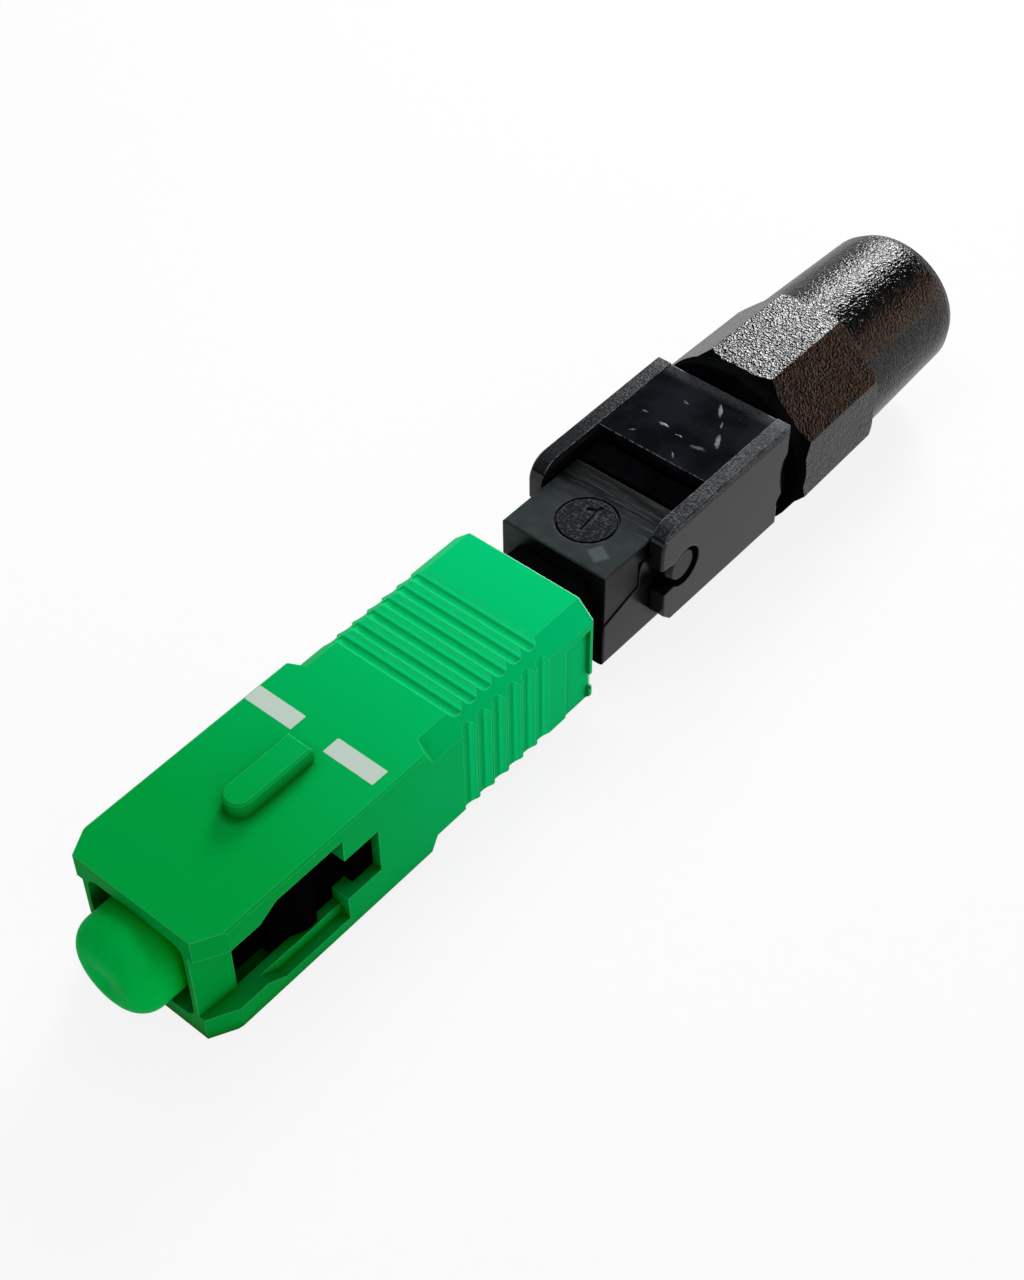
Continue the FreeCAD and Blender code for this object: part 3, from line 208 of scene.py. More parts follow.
def blackNylon(name, own):
    # each black piece has its own grain, the tool's spark-eroded texture, and its own roughness
    material, tree, place = startMaterial(name)
    rounded, edge, open_ = edgesAndCreases(tree, blackLook["rounding"], blackLook["gapReach"])
    clouds = blotches(tree, place, blackLook["broad"], *blackLook["clouds"])
    # edge: outer edges broken into chips, used by the lid and block as painted highlights
    look = {"colour": tinted(tree, ((clouds, blackLook["cloud"]),), linear(blackLook["colour"])),
            "edge": times(tree, edge, blotches(tree, place, blackLook["chip"], *blackLook["chips"])),
            "rough": blotches(tree, place, blackLook["broad"], *blackLook["patches"], *own["rough"]),
            "open": addNode(tree, "MapRange", span(open_, *blackLook["gap"])),
            "normal": addNode(tree, "Bump", {"Height": blotches(tree, place, own["grain"], 0, 1),
                                             "Distance": own["grainDepth"], "Normal": rounded})}
    return material, tree, place, look


# painted shade: the specular level is cut where a place is hemmed in
def finishBlack(material, look, gloss):
    return finishMaterial(material, {
        "Base Color": look["colour"], "Roughness": look["rough"], "Normal": look["normal"],
        "IOR": blackLook["ior"], "Specular IOR Level": times(material.node_tree, look["open"], gloss)})


# The body's sides and threaded stub are glossy; between its cheeks and on its collar the gloss is taken away,
# a painted shade that keeps them dead black
bodyLook = {"grain": 0.09 * mm, "grainDepth": 0.0012 * mm, "rough": (0.2, 0.28), "gloss": 0.31,
            "cheek": (3.30 * mm, 3.38 * mm), "collar": (43.35 * mm, 43.3 * mm), "stub": (44.2 * mm, 44.25 * mm)}
material, tree, place, look = blackNylon("moulded_black_nylon", bodyLook)
along, across = [addNode(tree, "SeparateXYZ", {"Vector": place}, axis) for axis in "XY"]
side = addNode(tree, "Math", {0: across}, operation="ABSOLUTE")
cheeks = times(tree, addNode(tree, "MapRange", span(side, *bodyLook["cheek"])),
               addNode(tree, "MapRange", span(along, *bodyLook["collar"])))
stub = addNode(tree, "MapRange", span(along, *bodyLook["stub"]))
shiny = addNode(tree, "Math", {0: cheeks, 1: stub}, operation="MAXIMUM")
bodyBlack = finishBlack(material, look, times(tree, shiny, bodyLook["gloss"]))

# The plug frame is painted darker than the other black parts and nearly without gloss, a painted shade, so its
# window shows as plain black
frameLook = {"grain": 0.09 * mm, "grainDepth": 0.0012 * mm, "rough": (0.45, 0.55), "colour": "#010101",
             "cloud": "#030303", "cloudSize": 0.8 * mm, "gloss": 0.002}
material, tree, place, look = blackNylon("painted_shade_black_nylon", frameLook)
look["colour"] = tinted(tree, ((blotches(tree, place, frameLook["cloudSize"]), frameLook["cloud"]),),
                        linear(frameLook["colour"]))
frameBlack = finishBlack(material, look, frameLook["gloss"])

# The lid has been handled: short pale nicks on its smooth top, each (x, y, turn, length, width, share) in mm, and
# arms whose upper edges are scuffed rough. Its top is painted lighter, as dust and a painted sheen; its rear rim
# has a pale painted highlight; and the arms' scuffs are painted paler on the near one and towards the rear, as
# wear and painted sheen
lidLook = {"grain": 0.09 * mm, "grainDepth": 0.0012 * mm, "rough": (0.07, 0.11), "gloss": 0.47, "topGloss": 0.08,
           "top": (3.45 * mm, 3.55 * mm), "dustAndSheen": "#0a0c0f", "haze": "#16191e", "hazeSize": 2.2 * mm,
           "hazes": (0.40, 0.62), "swirl": 0.22 * mm, "bend": 0.20 * mm, "fade": (1.15, 0.55),
           "nickDepth": 0.012 * mm, "rim": (42.25 * mm, 42.75 * mm, 0, 0.17), "rimSpecks": (0.36, 0.60, 0.35),
           "arm": (3.50 * mm, 3.54 * mm), "armRough": 0.2, "armShare": 0.07, "near": (3.5 * mm, -3.5 * mm, 0.35),
           "rearwardLight": (35 * mm, 39 * mm, 0.5), "scuffSize": 0.12 * mm, "scuffs": (0.46, 0.66), "scuffShare": 0.30,
           "scuffDepth": 0.02 * mm}
nicks = ((41.72, -0.82, 0.58, 0.95, 0.20, 0.75), (40.82, -1.55, 0.50, 0.45, 0.10, 0.45),
         (39.70, -2.14, 0.52, 1.05, 0.26, 0.60), (38.64, -1.61, 1.79, 0.85, 0.24, 0.28),
         (38.98, 0.82, 1.62, 0.60, 0.17, 0.60), (38.77, -0.30, 1.57, 0.42, 0.07, 0.55),
         (41.11, 1.00, 1.30, 0.45, 0.12, 0.20), (39.19, 2.26, 1.75, 0.45, 0.12, 0.20),
         (37.40, -0.95, 0.90, 0.50, 0.07, 0.35), (37.60, 1.90, 2.20, 0.40, 0.08, 0.30))
material, tree, place, look = blackNylon("handled_black_nylon", lidLook)
along, across, height = [addNode(tree, "SeparateXYZ", {"Vector": place}, axis) for axis in "XYZ"]
side = addNode(tree, "Math", {0: across}, operation="ABSOLUTE")
top = addNode(tree, "MapRange", span(height, *lidLook["top"]))
arm = times(tree, top, addNode(tree, "MapRange", span(side, *lidLook["arm"])))
swirl = addNode(tree, "TexNoise", {"Vector": place, "Scale": 1 / lidLook["swirl"], "Detail": 2.0}, "Color")
ragged = addNode(tree, "VectorMath", {0: swirl, 1: (lidLook["bend"], lidLook["bend"], 0), 2: place},
                 operation="MULTIPLY_ADD")
flat = addNode(tree, "VectorMath", {0: ragged, 1: (1, 1, 0)}, operation="MULTIPLY")
marked = 0.0
for x, y, turn, length, width, share in nicks:
    middle = (x * mm + lidLook["bend"] / 2, y * mm + lidLook["bend"] / 2, 0)
    local = addNode(tree, "Mapping", {"Vector": flat, "Location": middle, "Rotation": (0, 0, turn),
                                      "Scale": (length / 2 * mm, width / 2 * mm, 1)}, vector_type="TEXTURE")
    away = addNode(tree, "VectorMath", {0: local}, "Value", operation="LENGTH")
    nick = addNode(tree, "MapRange", span(away, *lidLook["fade"], 0, share))
    marked = addNode(tree, "Math", {0: marked, 1: nick}, operation="MAXIMUM")
marked = times(tree, marked, top)
scuffedAndLit = times(tree, addNode(tree, "MapRange", span(across, *lidLook["near"])),
                addNode(tree, "MapRange", span(along, *lidLook["rearwardLight"])))
scuffs = times(tree, blotches(tree, place, lidLook["scuffSize"], *lidLook["scuffs"]), arm, scuffedAndLit)
haze = times(tree, blotches(tree, place, lidLook["hazeSize"], *lidLook["hazes"]), top)
rim = times(tree, addNode(tree, "MapRange", span(along, *lidLook["rim"])), top,
            blotches(tree, place, lidLook["scuffSize"], *lidLook["rimSpecks"]))
# painted light: the lighter top is dust and painted sheen; the pale rear rim and edge chips are painted
# highlights; the arms' paler scuffs, near and rearwards, are wear and painted sheen
look["colour"] = tinted(tree, (
    (top, lidLook["dustAndSheen"]), (haze, lidLook["haze"]), (marked, blackLook["wearAndHighlight"]), (rim, blackLook["wearAndHighlight"]),
    (times(tree, arm, scuffedAndLit, lidLook["armShare"]), blackLook["wearAndHighlight"]),
    (times(tree, scuffs, lidLook["scuffShare"]), blackLook["wearAndHighlight"]),
    (times(tree, look["edge"], top), blackLook["wearAndHighlight"])), look["colour"])
look["rough"] = addNode(tree, "Math", {0: arm, 1: lidLook["armRough"], 2: look["rough"]}, operation="MULTIPLY_ADD")
for mark, depth in ((marked, lidLook["nickDepth"]), (scuffs, lidLook["scuffDepth"])):
    look["normal"] = addNode(tree, "Bump", {"Height": mark, "Distance": depth, "Normal": look["normal"]})
gloss = addNode(tree, "MapRange", span(top, 0, 1, lidLook["gloss"], lidLook["topGloss"]))
lidBlack = finishBlack(material, look, gloss)

# The press block's top is dry and dusty, with drag marks behind a rougher dark disc for the number
blockLook = {"grain": 0.16 * mm, "grainDepth": 0.004 * mm, "rough": (0.34, 0.46), "gloss": 0.3, "topGloss": 0.02,
             "top": (2.91 * mm, 2.93 * mm), "dust": "#3b4343", "dustShare": 0.8, "dustSize": 0.8 * mm,
             "dusts": (0.3, 0.7, 0.7), "rear": (31.6 * mm, 33.4 * mm), "rearDarkening": "#07090a",
             "rearSize": 0.9 * mm, "rears": (0.35, 0.6, 0.55), "discAt": (31.56 * mm, 0, 3 * mm),
             "disc": (1.64 * mm, 1.6 * mm), "discTint": "#0f1012", "discShare": 0.85, "speck": 0.16 * mm,
             "specks": (0.52, 0.68), "speckShare": 0.18, "speckDepth": 0.05 * mm, "edgeHighlightShare": 0.35}
dragLook = {"swirl": 2.2 * mm, "bend": 0.5 * mm, "turn": 0.18, "stretch": (2.4, 0.16, 1), "size": 0.40 * mm,
            "marks": (0.56, 0.68), "tint": "#4a5454", "share": 0.55, "depth": 0.02 * mm}
lozengeLook = {"at": (30.0 * mm, -1.97 * mm, 3 * mm), "reach": (0.48 * mm, 0.55 * mm), "turn": 0.5,
            "fade": 0.12 * mm, "tint": "#6a7474", "share": 0.35}
material, tree, place, look = blackNylon("spark_eroded_black_nylon", blockLook)
along, height = [addNode(tree, "SeparateXYZ", {"Vector": place}, axis) for axis in "XZ"]
top = addNode(tree, "MapRange", span(height, *blockLook["top"]))
away = addNode(tree, "VectorMath", {0: place, 1: blockLook["discAt"]}, "Value", operation="DISTANCE")
disc = times(tree, top, addNode(tree, "MapRange", span(away, *blockLook["disc"])))
rear = addNode(tree, "MapRange", span(along, *blockLook["rear"]))
swirl = addNode(tree, "TexNoise", {"Vector": place, "Scale": 1 / dragLook["swirl"], "Detail": 1.0}, "Color")
bent = addNode(tree, "VectorMath", {0: swirl, 1: (dragLook["bend"], dragLook["bend"], 0), 2: place},
               operation="MULTIPLY_ADD")
drawn = addNode(tree, "Mapping", {"Vector": bent, "Rotation": (0, 0, dragLook["turn"]),
                                  "Scale": dragLook["stretch"]})
drags = times(tree, blotches(tree, drawn, dragLook["size"], *dragLook["marks"]), rear, top)
# a small lozenge in front of the ring, painted paler: a painted sheen for a smoother facet that catches the light
moved = addNode(tree, "VectorMath", {0: place, 1: lozengeLook["at"]}, operation="SUBTRACT")
turned = addNode(tree, "Mapping", {"Vector": moved, "Rotation": (0, 0, lozengeLook["turn"])})
sheenPatch = top
for axis, reach in zip("XY", lozengeLook["reach"]):
    off = addNode(tree, "Math", {0: addNode(tree, "SeparateXYZ", {"Vector": turned}, axis)}, operation="ABSOLUTE")
    sheenPatch = times(tree, sheenPatch, addNode(tree, "MapRange", span(off, reach, reach - lozengeLook["fade"])))
cloudy = blotches(tree, place, blockLook["dustSize"], *blockLook["dusts"])
# darker in patches towards the rear of the top
rearDarkening = times(tree, rear, top, blotches(tree, drawn, blockLook["rearSize"], *blockLook["rears"]))
specks = times(tree, blotches(tree, place, blockLook["speck"], *blockLook["specks"]), disc)
# painted light: pale edge chips on the top are painted highlights, and the disc's pale specks are texture and
# painted glints
look["colour"] = tinted(tree, (
    (times(tree, cloudy, top, blockLook["dustShare"]), blockLook["dust"]), (rearDarkening, blockLook["rearDarkening"]),
    (times(tree, disc, blockLook["discShare"]), blockLook["discTint"]),
    (times(tree, drags, dragLook["share"]), dragLook["tint"]),
    (times(tree, specks, blockLook["speckShare"]), blackLook["wearAndHighlight"]),
    (times(tree, sheenPatch, lozengeLook["share"]), lozengeLook["tint"]),
    (times(tree, look["edge"], top, blockLook["edgeHighlightShare"]), blackLook["wearAndHighlight"])), look["colour"])
pits = times(tree, blotches(tree, place, blockLook["speck"], 0, 1), disc)
for mark, depth in ((pits, blockLook["speckDepth"]), (drags, dragLook["depth"])):
    look["normal"] = addNode(tree, "Bump", {"Height": mark, "Distance": depth, "Normal": look["normal"]})
gloss = addNode(tree, "MapRange", span(top, 0, 1, blockLook["gloss"], blockLook["topGloss"]))
blockBlack = finishBlack(material, look, gloss)

# The nut is glossy over a coarse spark-eroded grain, which breaks what it mirrors into glints, over broader
# waves. It shines more where it is seen at a slant, and its turned front corners face the collar's dark gap:
# faces that look forwards lose their gloss, a painted shade
nutLook = {"grain": 0.09 * mm, "grainDepth": 0.002 * mm, "rough": (0.08, 0.13), "wave": 0.7 * mm,
           "waveDepth": 0.03 * mm, "glint": 0.14 * mm, "glintDepth": 0.06 * mm,
           "glints": (0.42, 0.58, 0.22, 0.46), "front": (-0.35, -0.15), "slant": (0.7, 0.85, 1, 3.2)}
material, tree, place, look = blackNylon("glossy_flecked_black_nylon", nutLook)
glints = blotches(tree, place, nutLook["glint"], *nutLook["glints"], detail=1.0)
facing = addNode(tree, "SeparateXYZ", {"Vector": addNode(tree, "NewGeometry", out="True Normal")}, "X")
behind = addNode(tree, "MapRange", span(facing, *nutLook["front"]))
for size, depth in ((nutLook["wave"], nutLook["waveDepth"]), (nutLook["glint"], nutLook["glintDepth"])):
    look["normal"] = addNode(tree, "Bump", {"Height": blotches(tree, place, size, 0, 1, detail=1.0),
                                            "Distance": depth, "Normal": look["normal"]})
slant = addNode(tree, "MapRange", span(addNode(tree, "LayerWeight", out="Facing"), *nutLook["slant"]))
nutBlack = finishBlack(material, look, times(tree, behind, glints, slant))

# Zirconia, ground and polished: warm white, glassy, and a little light goes into it
ceramicLook = {"colour": "#efebe0", "cloud": "#f6f3ea", "cloudSize": 0.8 * mm, "rough": (0.3, 0.7, 0.08, 0.14),
               "ior": 2.15, "inside": 0.3, "insideTint": (1.0, 0.9, 0.7), "insideReach": 0.3 * mm}
ceramic, tree, place = startMaterial("polished_zirconia")
cloud = blotches(tree, place, ceramicLook["cloudSize"])
finishMaterial(ceramic, {
    "Base Color": tinted(tree, ((cloud, ceramicLook["cloud"]),), linear(ceramicLook["colour"])),
    "Roughness": blotches(tree, place, ceramicLook["cloudSize"], *ceramicLook["rough"]),
    "IOR": ceramicLook["ior"], "Subsurface Weight": ceramicLook["inside"],
    "Subsurface Radius": ceramicLook["insideTint"], "Subsurface Scale": ceramicLook["insideReach"]})

# Spring wire, cold drawn: grey metal with fine lines
springLook = {"colour": "#a9a9ac", "line": "#c9c9cc", "lineSize": 0.05 * mm, "rough": (0.3, 0.7, 0.22, 0.36),
              "depth": 0.002 * mm, "strength": 0.5}
springSteel, tree, place = startMaterial("drawn_spring_steel")
lines = blotches(tree, place, springLook["lineSize"])
finishMaterial(springSteel, {
    "Base Color": tinted(tree, ((lines, springLook["line"]),), linear(springLook["colour"])), "Metallic": 1.0,
    "Roughness": blotches(tree, place, springLook["lineSize"], *springLook["rough"]),
    "Normal": addNode(tree, "Bump", {"Height": lines, "Distance": springLook["depth"],
                                     "Strength": springLook["strength"]})})

# Brass under bright nickel, turned: warm grey metal with fine rings across its axis
nickelLook = {"colour": "#c2bdb0", "ring": "#d6d1c5", "ringSize": 0.5 * mm, "wobble": 0.4,
              "rough": (0, 1, 0.18, 0.28), "depth": 0.002 * mm, "strength": 0.4}
nickel, tree, place = startMaterial("turned_nickel_plate")
rings = addNode(tree, "TexWave", {"Vector": place, "Scale": 1 / nickelLook["ringSize"],
                                  "Distortion": nickelLook["wobble"], "Detail": 2.0}, "Fac", bands_direction="X")
finishMaterial(nickel, {
    "Base Color": tinted(tree, ((rings, nickelLook["ring"]),), linear(nickelLook["colour"])), "Metallic": 1.0,
    "Roughness": addNode(tree, "MapRange", span(rings, *nickelLook["rough"])),
    "Normal": addNode(tree, "Bump", {"Height": rings, "Distance": nickelLook["depth"],
                                     "Strength": nickelLook["strength"]})})

# PEI for the splice halves, moulded: pale grey with a smooth face
spliceLook = {"colour": "#8d908f", "cloud": "#9a9d9b", "cloudSize": 0.6 * mm, "rough": (0.3, 0.7, 0.3, 0.42),
              "depth": 0.004 * mm, "strength": 0.4}
splicePlastic, tree, place = startMaterial("moulded_grey_splice_plastic")
cloud = blotches(tree, place, spliceLook["cloudSize"])
finishMaterial(splicePlastic, {
    "Base Color": tinted(tree, ((cloud, spliceLook["cloud"]),), linear(spliceLook["colour"])),
    "Roughness": blotches(tree, place, spliceLook["cloudSize"], *spliceLook["rough"]),
    "Normal": addNode(tree, "Bump", {"Height": cloud, "Distance": spliceLook["depth"],
                                     "Strength": spliceLook["strength"]})})

# Silica fibre, drawn: a clear thread that shows as a bright line
fibreLook = {"colour": "#eef6fa", "streak": "#ffffff", "streakSize": 0.3 * mm, "rough": 0.03, "ior": 1.46,
             "clear": 0.9}
fibreGlass, tree, place = startMaterial("drawn_silica_fibre")
streaks = blotches(tree, place, fibreLook["streakSize"])
finishMaterial(fibreGlass, {
    "Base Color": tinted(tree, ((streaks, fibreLook["streak"]),), linear(fibreLook["colour"])),
    "Roughness": fibreLook["rough"], "IOR": fibreLook["ior"], "Transmission Weight": fibreLook["clear"]})
print("materials made:", len(bpy.data.materials))


def addPiece(name, build, material, body):
    mesh = bpy.data.meshes.new(name)
    build.to_mesh(mesh)
    build.free()
    mesh.materials.append(material)
    piece = bpy.data.objects.new(name, mesh)
    bpy.context.scene.collection.objects.link(piece)
    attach(piece, body)
    return piece


# the sharpest angle that still shades smooth, in degrees, and how near two corners are welded, in metres
smooth = {"cad": 20, "turned": 30, "wound": 40}
weld = {"cad": 0.4e-6, "turned": 1e-6, "wound": 1e-7}


def smoothByAngle(build, limit):
    for face in build.faces:
        face.smooth = True
    for edge in build.edges:
        if len(edge.link_faces) != 2 or edge.calc_face_angle(math.pi) > math.radians(limit):
            edge.smooth = False


def mergedNode(node):
    # one clean closed mesh of a CAD node, whose own mesh stays as it came
    build = bmesh.new()
    build.from_mesh(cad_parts[node].data)
    bmesh.ops.remove_doubles(build, verts=build.verts, dist=weld["cad"])
    return build


def dressNode(node, name, material, body):
    build = mergedNode(node)
    smoothByAngle(build, smooth["cad"])
    piece = addPiece(name, build, material, body)
    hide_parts(node)
    return piece


def lathe(corners, rounds, steps=96, segments=10):
    # a closed profile of (along X, radius) corners in mm, some rounded off, spun about the plug's axis
    build = bmesh.new()
    points = [build.verts.new((x * mm, 0, r * mm)) for x, r in corners]
    for first, second in zip(points, points[1:]):
        build.edges.new((first, second))
    for index, size in rounds.items():
        bmesh.ops.bevel(build, geom=[points[index]], affect="VERTICES", offset=size * mm,
                        segments=segments, profile=0.5, material=-1)
    bmesh.ops.spin(build, geom=build.verts[:] + build.edges[:], axis=(1, 0, 0), cent=(0, 0, 0),
                   angle=math.tau, steps=steps, use_merge=True)
    bmesh.ops.remove_doubles(build, verts=build.verts, dist=weld["turned"])
    bmesh.ops.recalc_face_normals(build, faces=build.faces)
    smoothByAngle(build, smooth["turned"])
    return build


dressed = [
    ("outer_housing", "green_housing", housingGreen, "housing"),
    ("plug_frame", "black_plug_frame", frameBlack, "splice_body"),
    ("main_body", "black_body", bodyBlack, "splice_body"),
    ("press_block", "black_press_block", blockBlack, "block"),
    ("lock_cover", "black_lid", lidBlack, "lid"),
    ("collet", "cable_collet", bodyBlack, "jaw"),
    ("tail_nut", "black_tail_nut", nutBlack, "nut"),
    ("ferrule", "ceramic_ferrule", ceramic, "ferrule_unit"),
    ("ferrule_holder", "nickel_holder", nickel, "ferrule_unit"),
    ("splice_base", "splice_lower_half", splicePlastic, "splice_body"),
    ("splice_cover", "splice_upper_half", splicePlastic, "splice_body"),
    ("splice_clip", "splice_spring_clip", springSteel, "splice_body"),
    ("fibre_guide", "fibre_funnel", splicePlastic, "splice_body"),
]
pieces = {node: dressNode(node, name, material, body) for node, name, material, body in dressed}
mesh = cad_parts["fibre_stub"].data
mesh.materials.clear()
mesh.materials.append(fibreGlass)
print("nodes dressed:", len(pieces) + 1)

# The spring, dressed, with a mesh of its own
spring = dressNode("ferrule_spring", "drawn_wire_spring", springSteel, "splice_body")
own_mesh(spring)
print("spring set")

# Dust cap: the dome is one smooth curve, with the moulding's gate mark sunk a little in its middle
cap = {"front": -2.2, "radius": 2.62, "headEnd": 1.2, "stemRadius": 2.25, "stemEnd": 4.5, "bore": 1.279,
       "boreEnd": -1.05, "dome": 1.3, "lip": 0.12, "gateDepth": 0.06, "gateRadius": 0.42, "gateRim": 0.55}
gateAt = cap["front"] + cap["gateDepth"]
corners = [(gateAt, 0.0), (gateAt, cap["gateRadius"]), (cap["front"], cap["gateRim"]),
           (cap["front"], cap["radius"]), (cap["headEnd"], cap["radius"]), (cap["headEnd"], cap["stemRadius"]),
           (cap["stemEnd"], cap["stemRadius"]), (cap["stemEnd"], cap["bore"]), (cap["boreEnd"], cap["bore"]),
           (cap["boreEnd"], 0.0)]
rounds = {3: cap["dome"], 4: cap["lip"], 6: cap["lip"]}
capPiece = addPiece("soft_dust_cap", lathe(corners, rounds), softCap, "cap")
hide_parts("dust_cap")
print("dust cap turned")

# The number 1 is sunk into the press block, inside the ring, with its top towards the lid
digit = {"at": (31.8, -0.12), "height": 2.05, "turn": 0.12, "stroke": 0.26, "flag": 0.68, "flagTurn": -1.16,
         "flagShift": (0.53, 0.36), "topUp": 3.0, "depth": 0.12}
build = bmesh.new()
for length, turn, shift in ((digit["height"], digit["turn"], (0.0, 0.0)),
                            (digit["flag"], digit["flagTurn"], digit["flagShift"])):
    bar = bmesh.ops.create_cube(build, size=1)["verts"]
    bmesh.ops.scale(build, vec=(length * mm, digit["stroke"] * mm, 2 * digit["depth"] * mm), verts=bar)
    bmesh.ops.rotate(build, verts=bar, cent=(0, 0, 0), matrix=Matrix.Rotation(turn, 3, "Z"))
    bmesh.ops.translate(build, verts=bar, vec=Vector((digit["at"][0] + shift[0], digit["at"][1] + shift[1],
                                                      digit["topUp"])) * mm)
cutMesh = bpy.data.meshes.new("digit_cutter")
build.to_mesh(cutMesh)
build.free()
cutter = bpy.data.objects.new("digit_cutter", cutMesh)
bpy.context.scene.collection.objects.link(cutter)
block = pieces["press_block"]
sinking = block.modifiers.new("sink_number", "BOOLEAN")
sinking.object = cutter
sinking.operation = "DIFFERENCE"
sinking.solver = "EXACT"
sinking.use_self = True
sunk = bpy.data.meshes.new_from_object(block.evaluated_get(bpy.context.evaluated_depsgraph_get()))
block.modifiers.clear()
build = bmesh.new()
build.from_mesh(sunk)
smoothByAngle(build, smooth["cad"])
build.to_mesh(block.data)
build.free()
bpy.data.objects.remove(cutter)
print("number sunk")

# Thread on the stub: one ridge wound round it, low enough to clear the nut's bore
thread = {"from": 44.9, "pitch": 1.0, "turns": 5, "root": 3.37, "crest": 3.46, "rootHalf": 0.34,
          "crestHalf": 0.08, "steps": 40}
build = bmesh.new()
rib = [build.verts.new((thread["from"] * mm + x * mm, 0, r * mm)) for x, r in
       ((-thread["rootHalf"], thread["root"]), (-thread["crestHalf"], thread["crest"]),
        (thread["crestHalf"], thread["crest"]), (thread["rootHalf"], thread["root"]))]
face = build.faces.new(rib)
bmesh.ops.spin(build, geom=[face], axis=(1, 0, 0), cent=(0, 0, 0), angle=math.tau * thread["turns"],
               steps=thread["steps"] * thread["turns"],
               dvec=(thread["pitch"] * mm / thread["steps"], 0, 0), use_duplicate=False)
bmesh.ops.remove_doubles(build, verts=build.verts, dist=weld["wound"])
bmesh.ops.recalc_face_normals(build, faces=build.faces)
smoothByAngle(build, smooth["wound"])
addPiece("stub_thread", build, bodyBlack, "splice_body")
print("thread wound")

# The two white depth marks on the housing's top, each a thin printed patch with slightly soft corners
marks = {"front": 11.4, "rear": 12.45, "thickness": 0.012, "corner": 0.06,
         "spans": ((1.37, 4.38), (-3.80, -0.69)), "topUp": 3.7}
build = bmesh.new()
for right, left in marks["spans"]:
    made = bmesh.ops.create_cube(build, size=1)["verts"]
    middle = Vector(((marks["front"] + marks["rear"]) / 2, (right + left) / 2, marks["topUp"])) * mm
    size = ((marks["rear"] - marks["front"]) * mm, (left - right) * mm, marks["thickness"] * mm)
    bmesh.ops.scale(build, vec=size, verts=made)
    bmesh.ops.translate(build, vec=middle, verts=made)
upright = [edge for edge in build.edges
           if abs(edge.verts[0].co.z - edge.verts[1].co.z) > marks["thickness"] / 2 * mm]
bmesh.ops.bevel(build, geom=upright, offset=marks["corner"] * mm, affect="EDGES", segments=3, profile=0.5,
                material=-1)
addPiece("white_depth_marks", build, whiteInk, "housing")
print("marks printed")

# The plug lies on the bottom edge of its front and on its collar, so the floor is tilted to touch both. Seen
# straight it is a near-white sheet that keeps the shadow, and black plastic mirrors it dimmer than it is.
floor = {"frontUp": -3.72, "collarAt": 43.8, "collarUp": -5.02, "reach": 900.0, "colour": "#f4f4f4",
         "cloud": "#fafafa", "cloudSize": 0.8, "glow": 0.86, "mirrored": 0.56}
floorMaterial, tree, place = startMaterial("matt_white_paper")
paper = tinted(tree, ((blotches(tree, place, floor["cloudSize"] * mm), floor["cloud"]),), linear(floor["colour"]))
diffuse = addNode(tree, "BsdfDiffuse", {"Color": paper})
white = addNode(tree, "Emission", {"Color": (1, 1, 1, 1), "Strength": 1.0})
grey = addNode(tree, "Emission", {"Color": (1, 1, 1, 1), "Strength": floor["mirrored"]})
seen = addNode(tree, "Math", {0: addNode(tree, "LightPath", out="Is Camera Ray"),
                              1: addNode(tree, "LightPath", out="Is Transmission Ray")}, operation="MAXIMUM")
lit = addNode(tree, "MixShader", {0: times(tree, seen, floor["glow"]), 1: diffuse, 2: white})
sheet = addNode(tree, "MixShader", {0: addNode(tree, "LightPath", out="Is Glossy Ray"), 1: lit, 2: grey})
addNode(tree, "OutputMaterial", {"Surface": sheet})

build = bmesh.new()
bmesh.ops.create_grid(build, x_segments=1, y_segments=1, size=floor["reach"] * mm)
slope = math.atan2(floor["frontUp"] - floor["collarUp"], floor["collarAt"])
bmesh.ops.rotate(build, verts=build.verts, cent=(0, 0, 0), matrix=Matrix.Rotation(slope, 3, "Y"))
bmesh.ops.translate(build, verts=build.verts, vec=(0, 0, floor["frontUp"] * mm))
mesh = bpy.data.meshes.new("paper_floor")
build.to_mesh(mesh)
build.free()
mesh.materials.append(floorMaterial)
floorObject = bpy.data.objects.new("paper_floor", mesh)
bpy.context.scene.collection.objects.link(floorObject)

# World: a white room at eye level with a dim ceiling, so black plastic stays black on top
worldLook = {"ambient": 0.33, "ceiling": 0.04, "wall": 1.0, "ceilingFrom": 0.26}
world = bpy.data.worlds.new("studio")
bpy.context.scene.world = world
world.use_nodes = True
tree = world.node_tree
tree.nodes.clear()
height = addNode(tree, "SeparateXYZ", {"Vector": addNode(tree, "TexCoord", out="Generated")}, "Z")
room = addNode(tree, "MapRange", span(height, 0, worldLook["ceilingFrom"], worldLook["wall"],
                                      worldLook["ceiling"]))
plain, glossy, white = [addNode(tree, "Background", {"Color": (1, 1, 1, 1), "Strength": strength})
                        for strength in (worldLook["ambient"], room, 1.0)]
seen = addNode(tree, "Math", {0: addNode(tree, "LightPath", out="Is Camera Ray"),
                              1: addNode(tree, "LightPath", out="Is Transmission Ray")}, operation="MAXIMUM")
mirrored = addNode(tree, "MixShader", {0: addNode(tree, "LightPath", out="Is Glossy Ray"), 1: plain, 2: glossy})
addNode(tree, "OutputWorld", {"Surface": addNode(tree, "MixShader", {0: seen, 1: mirrored, 2: white})})


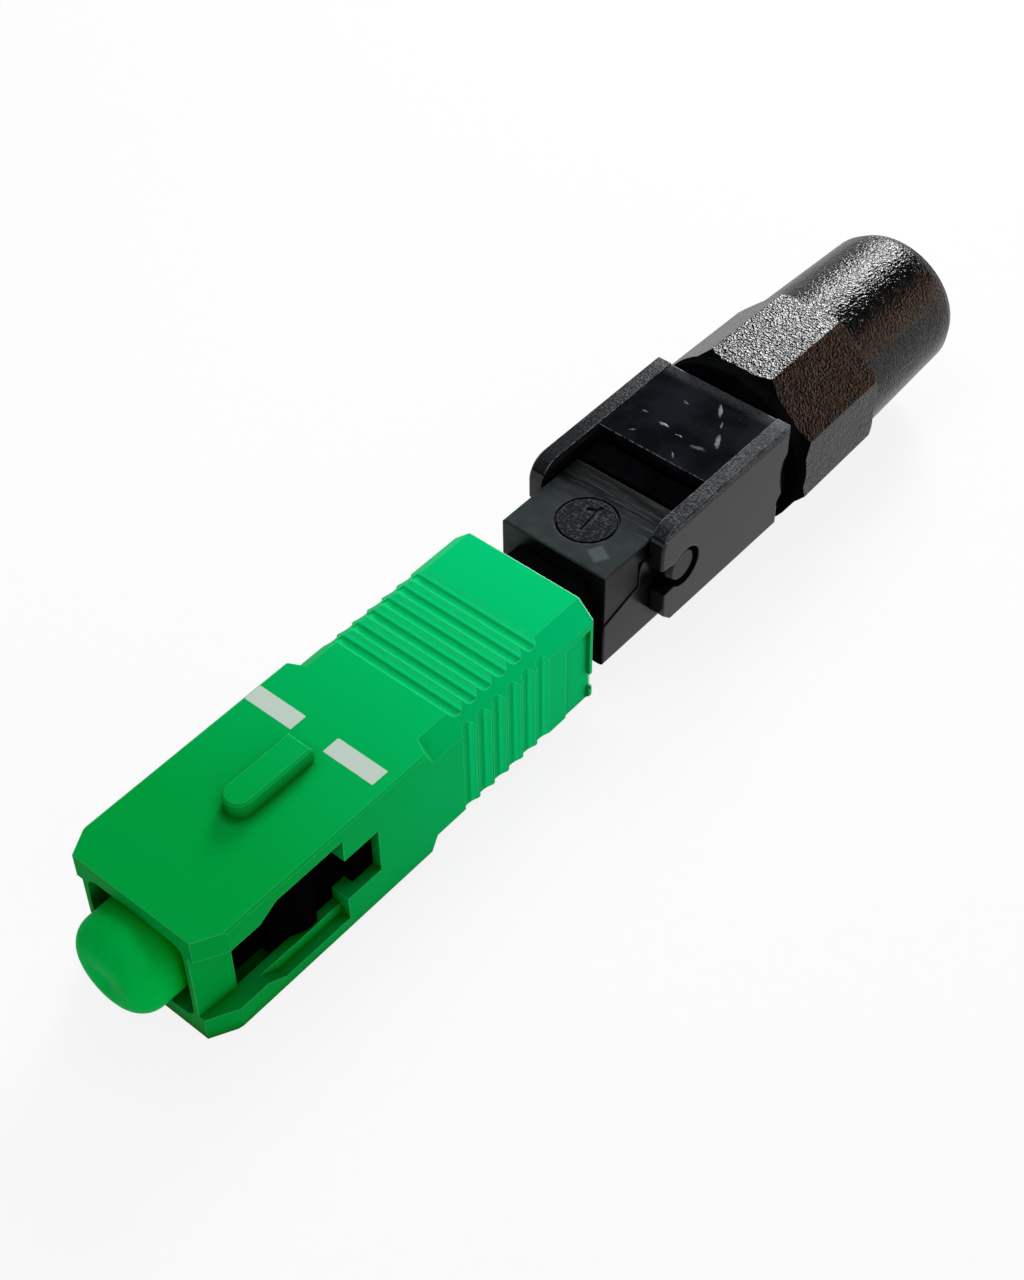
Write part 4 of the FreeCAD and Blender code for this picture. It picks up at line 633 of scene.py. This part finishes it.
def addLamp(name, aim, direction, distance, size, level, colour):
    # level is the brightness of a white card at aim that faces the lamp
    light = bpy.data.lights.new(name, "AREA")
    light.shape = "DISK"
    light.size = size
    light.energy = level * math.pi ** 2 * distance ** 2
    light.color = linear(colour)[:3]
    lamp = bpy.data.objects.new(name, light)
    way = Vector(direction).normalized()
    lamp.location = Vector(aim) + way * distance
    lamp.rotation_euler = way.to_track_quat("Z", "Y").to_euler()
    bpy.context.scene.collection.objects.link(lamp)


# the key makes the nut's glints, the overhead is close so that the grip is brighter than the nose, and the
# warm card is what the nut's right side mirrors
lamps = {"key": ((0.050, 0, 0.005), (0.80, 0.36, 0.48), 0.20, 0.085, 0.85, "#ffffff"),
         "overhead": ((0.032, 0, 0), (0.05, 0.15, 1.0), 0.065, 0.03, 0.30, "#ffffff"),
         "fill": ((0.028, 0, 0), (-0.35, -1.0, 0.30), 0.40, 0.30, 0.25, "#ffffff"),
         "warm": ((0.055, 0, 0), (0.80, -0.54, 0.26), 0.30, 0.10, 0.070, "#ffb37c")}
for name, settings in lamps.items():
    addLamp(name, *settings)

# Camera, where the photograph was taken from
view = {"azimuth": -49.054, "elevation": 47.275, "roll": -0.859, "distance": 111.472, "lens": 61.558,
        "sensor": 36, "clip": (0.005, 10), "target": (25.569, 0.0, -1.033)}


def addCamera():
    a, e, r = (math.radians(view[k]) for k in ("azimuth", "elevation", "roll"))
    back = Vector((math.sin(a) * math.cos(e), -math.cos(a) * math.cos(e), math.sin(e)))
    right = Vector((math.cos(a), math.sin(a), 0))
    up = back.cross(right)
    rolledRight = right * math.cos(r) + up * math.sin(r)
    rolledUp = up * math.cos(r) - right * math.sin(r)
    lens = bpy.data.cameras.new("photo_camera")
    lens.sensor_width = view["sensor"]
    lens.lens = view["lens"]
    lens.clip_start, lens.clip_end = view["clip"]
    eye = bpy.data.objects.new("photo_camera", lens)
    eye.matrix_world = Matrix.Translation((Vector(view["target"]) + back * view["distance"]) * mm) @ \
        Matrix((rolledRight, rolledUp, back)).transposed().to_4x4()
    bpy.context.scene.collection.objects.link(eye)
    bpy.context.scene.camera = eye


addCamera()
bpy.context.scene.view_settings.view_transform = "Standard"
print("stage, light and camera set")
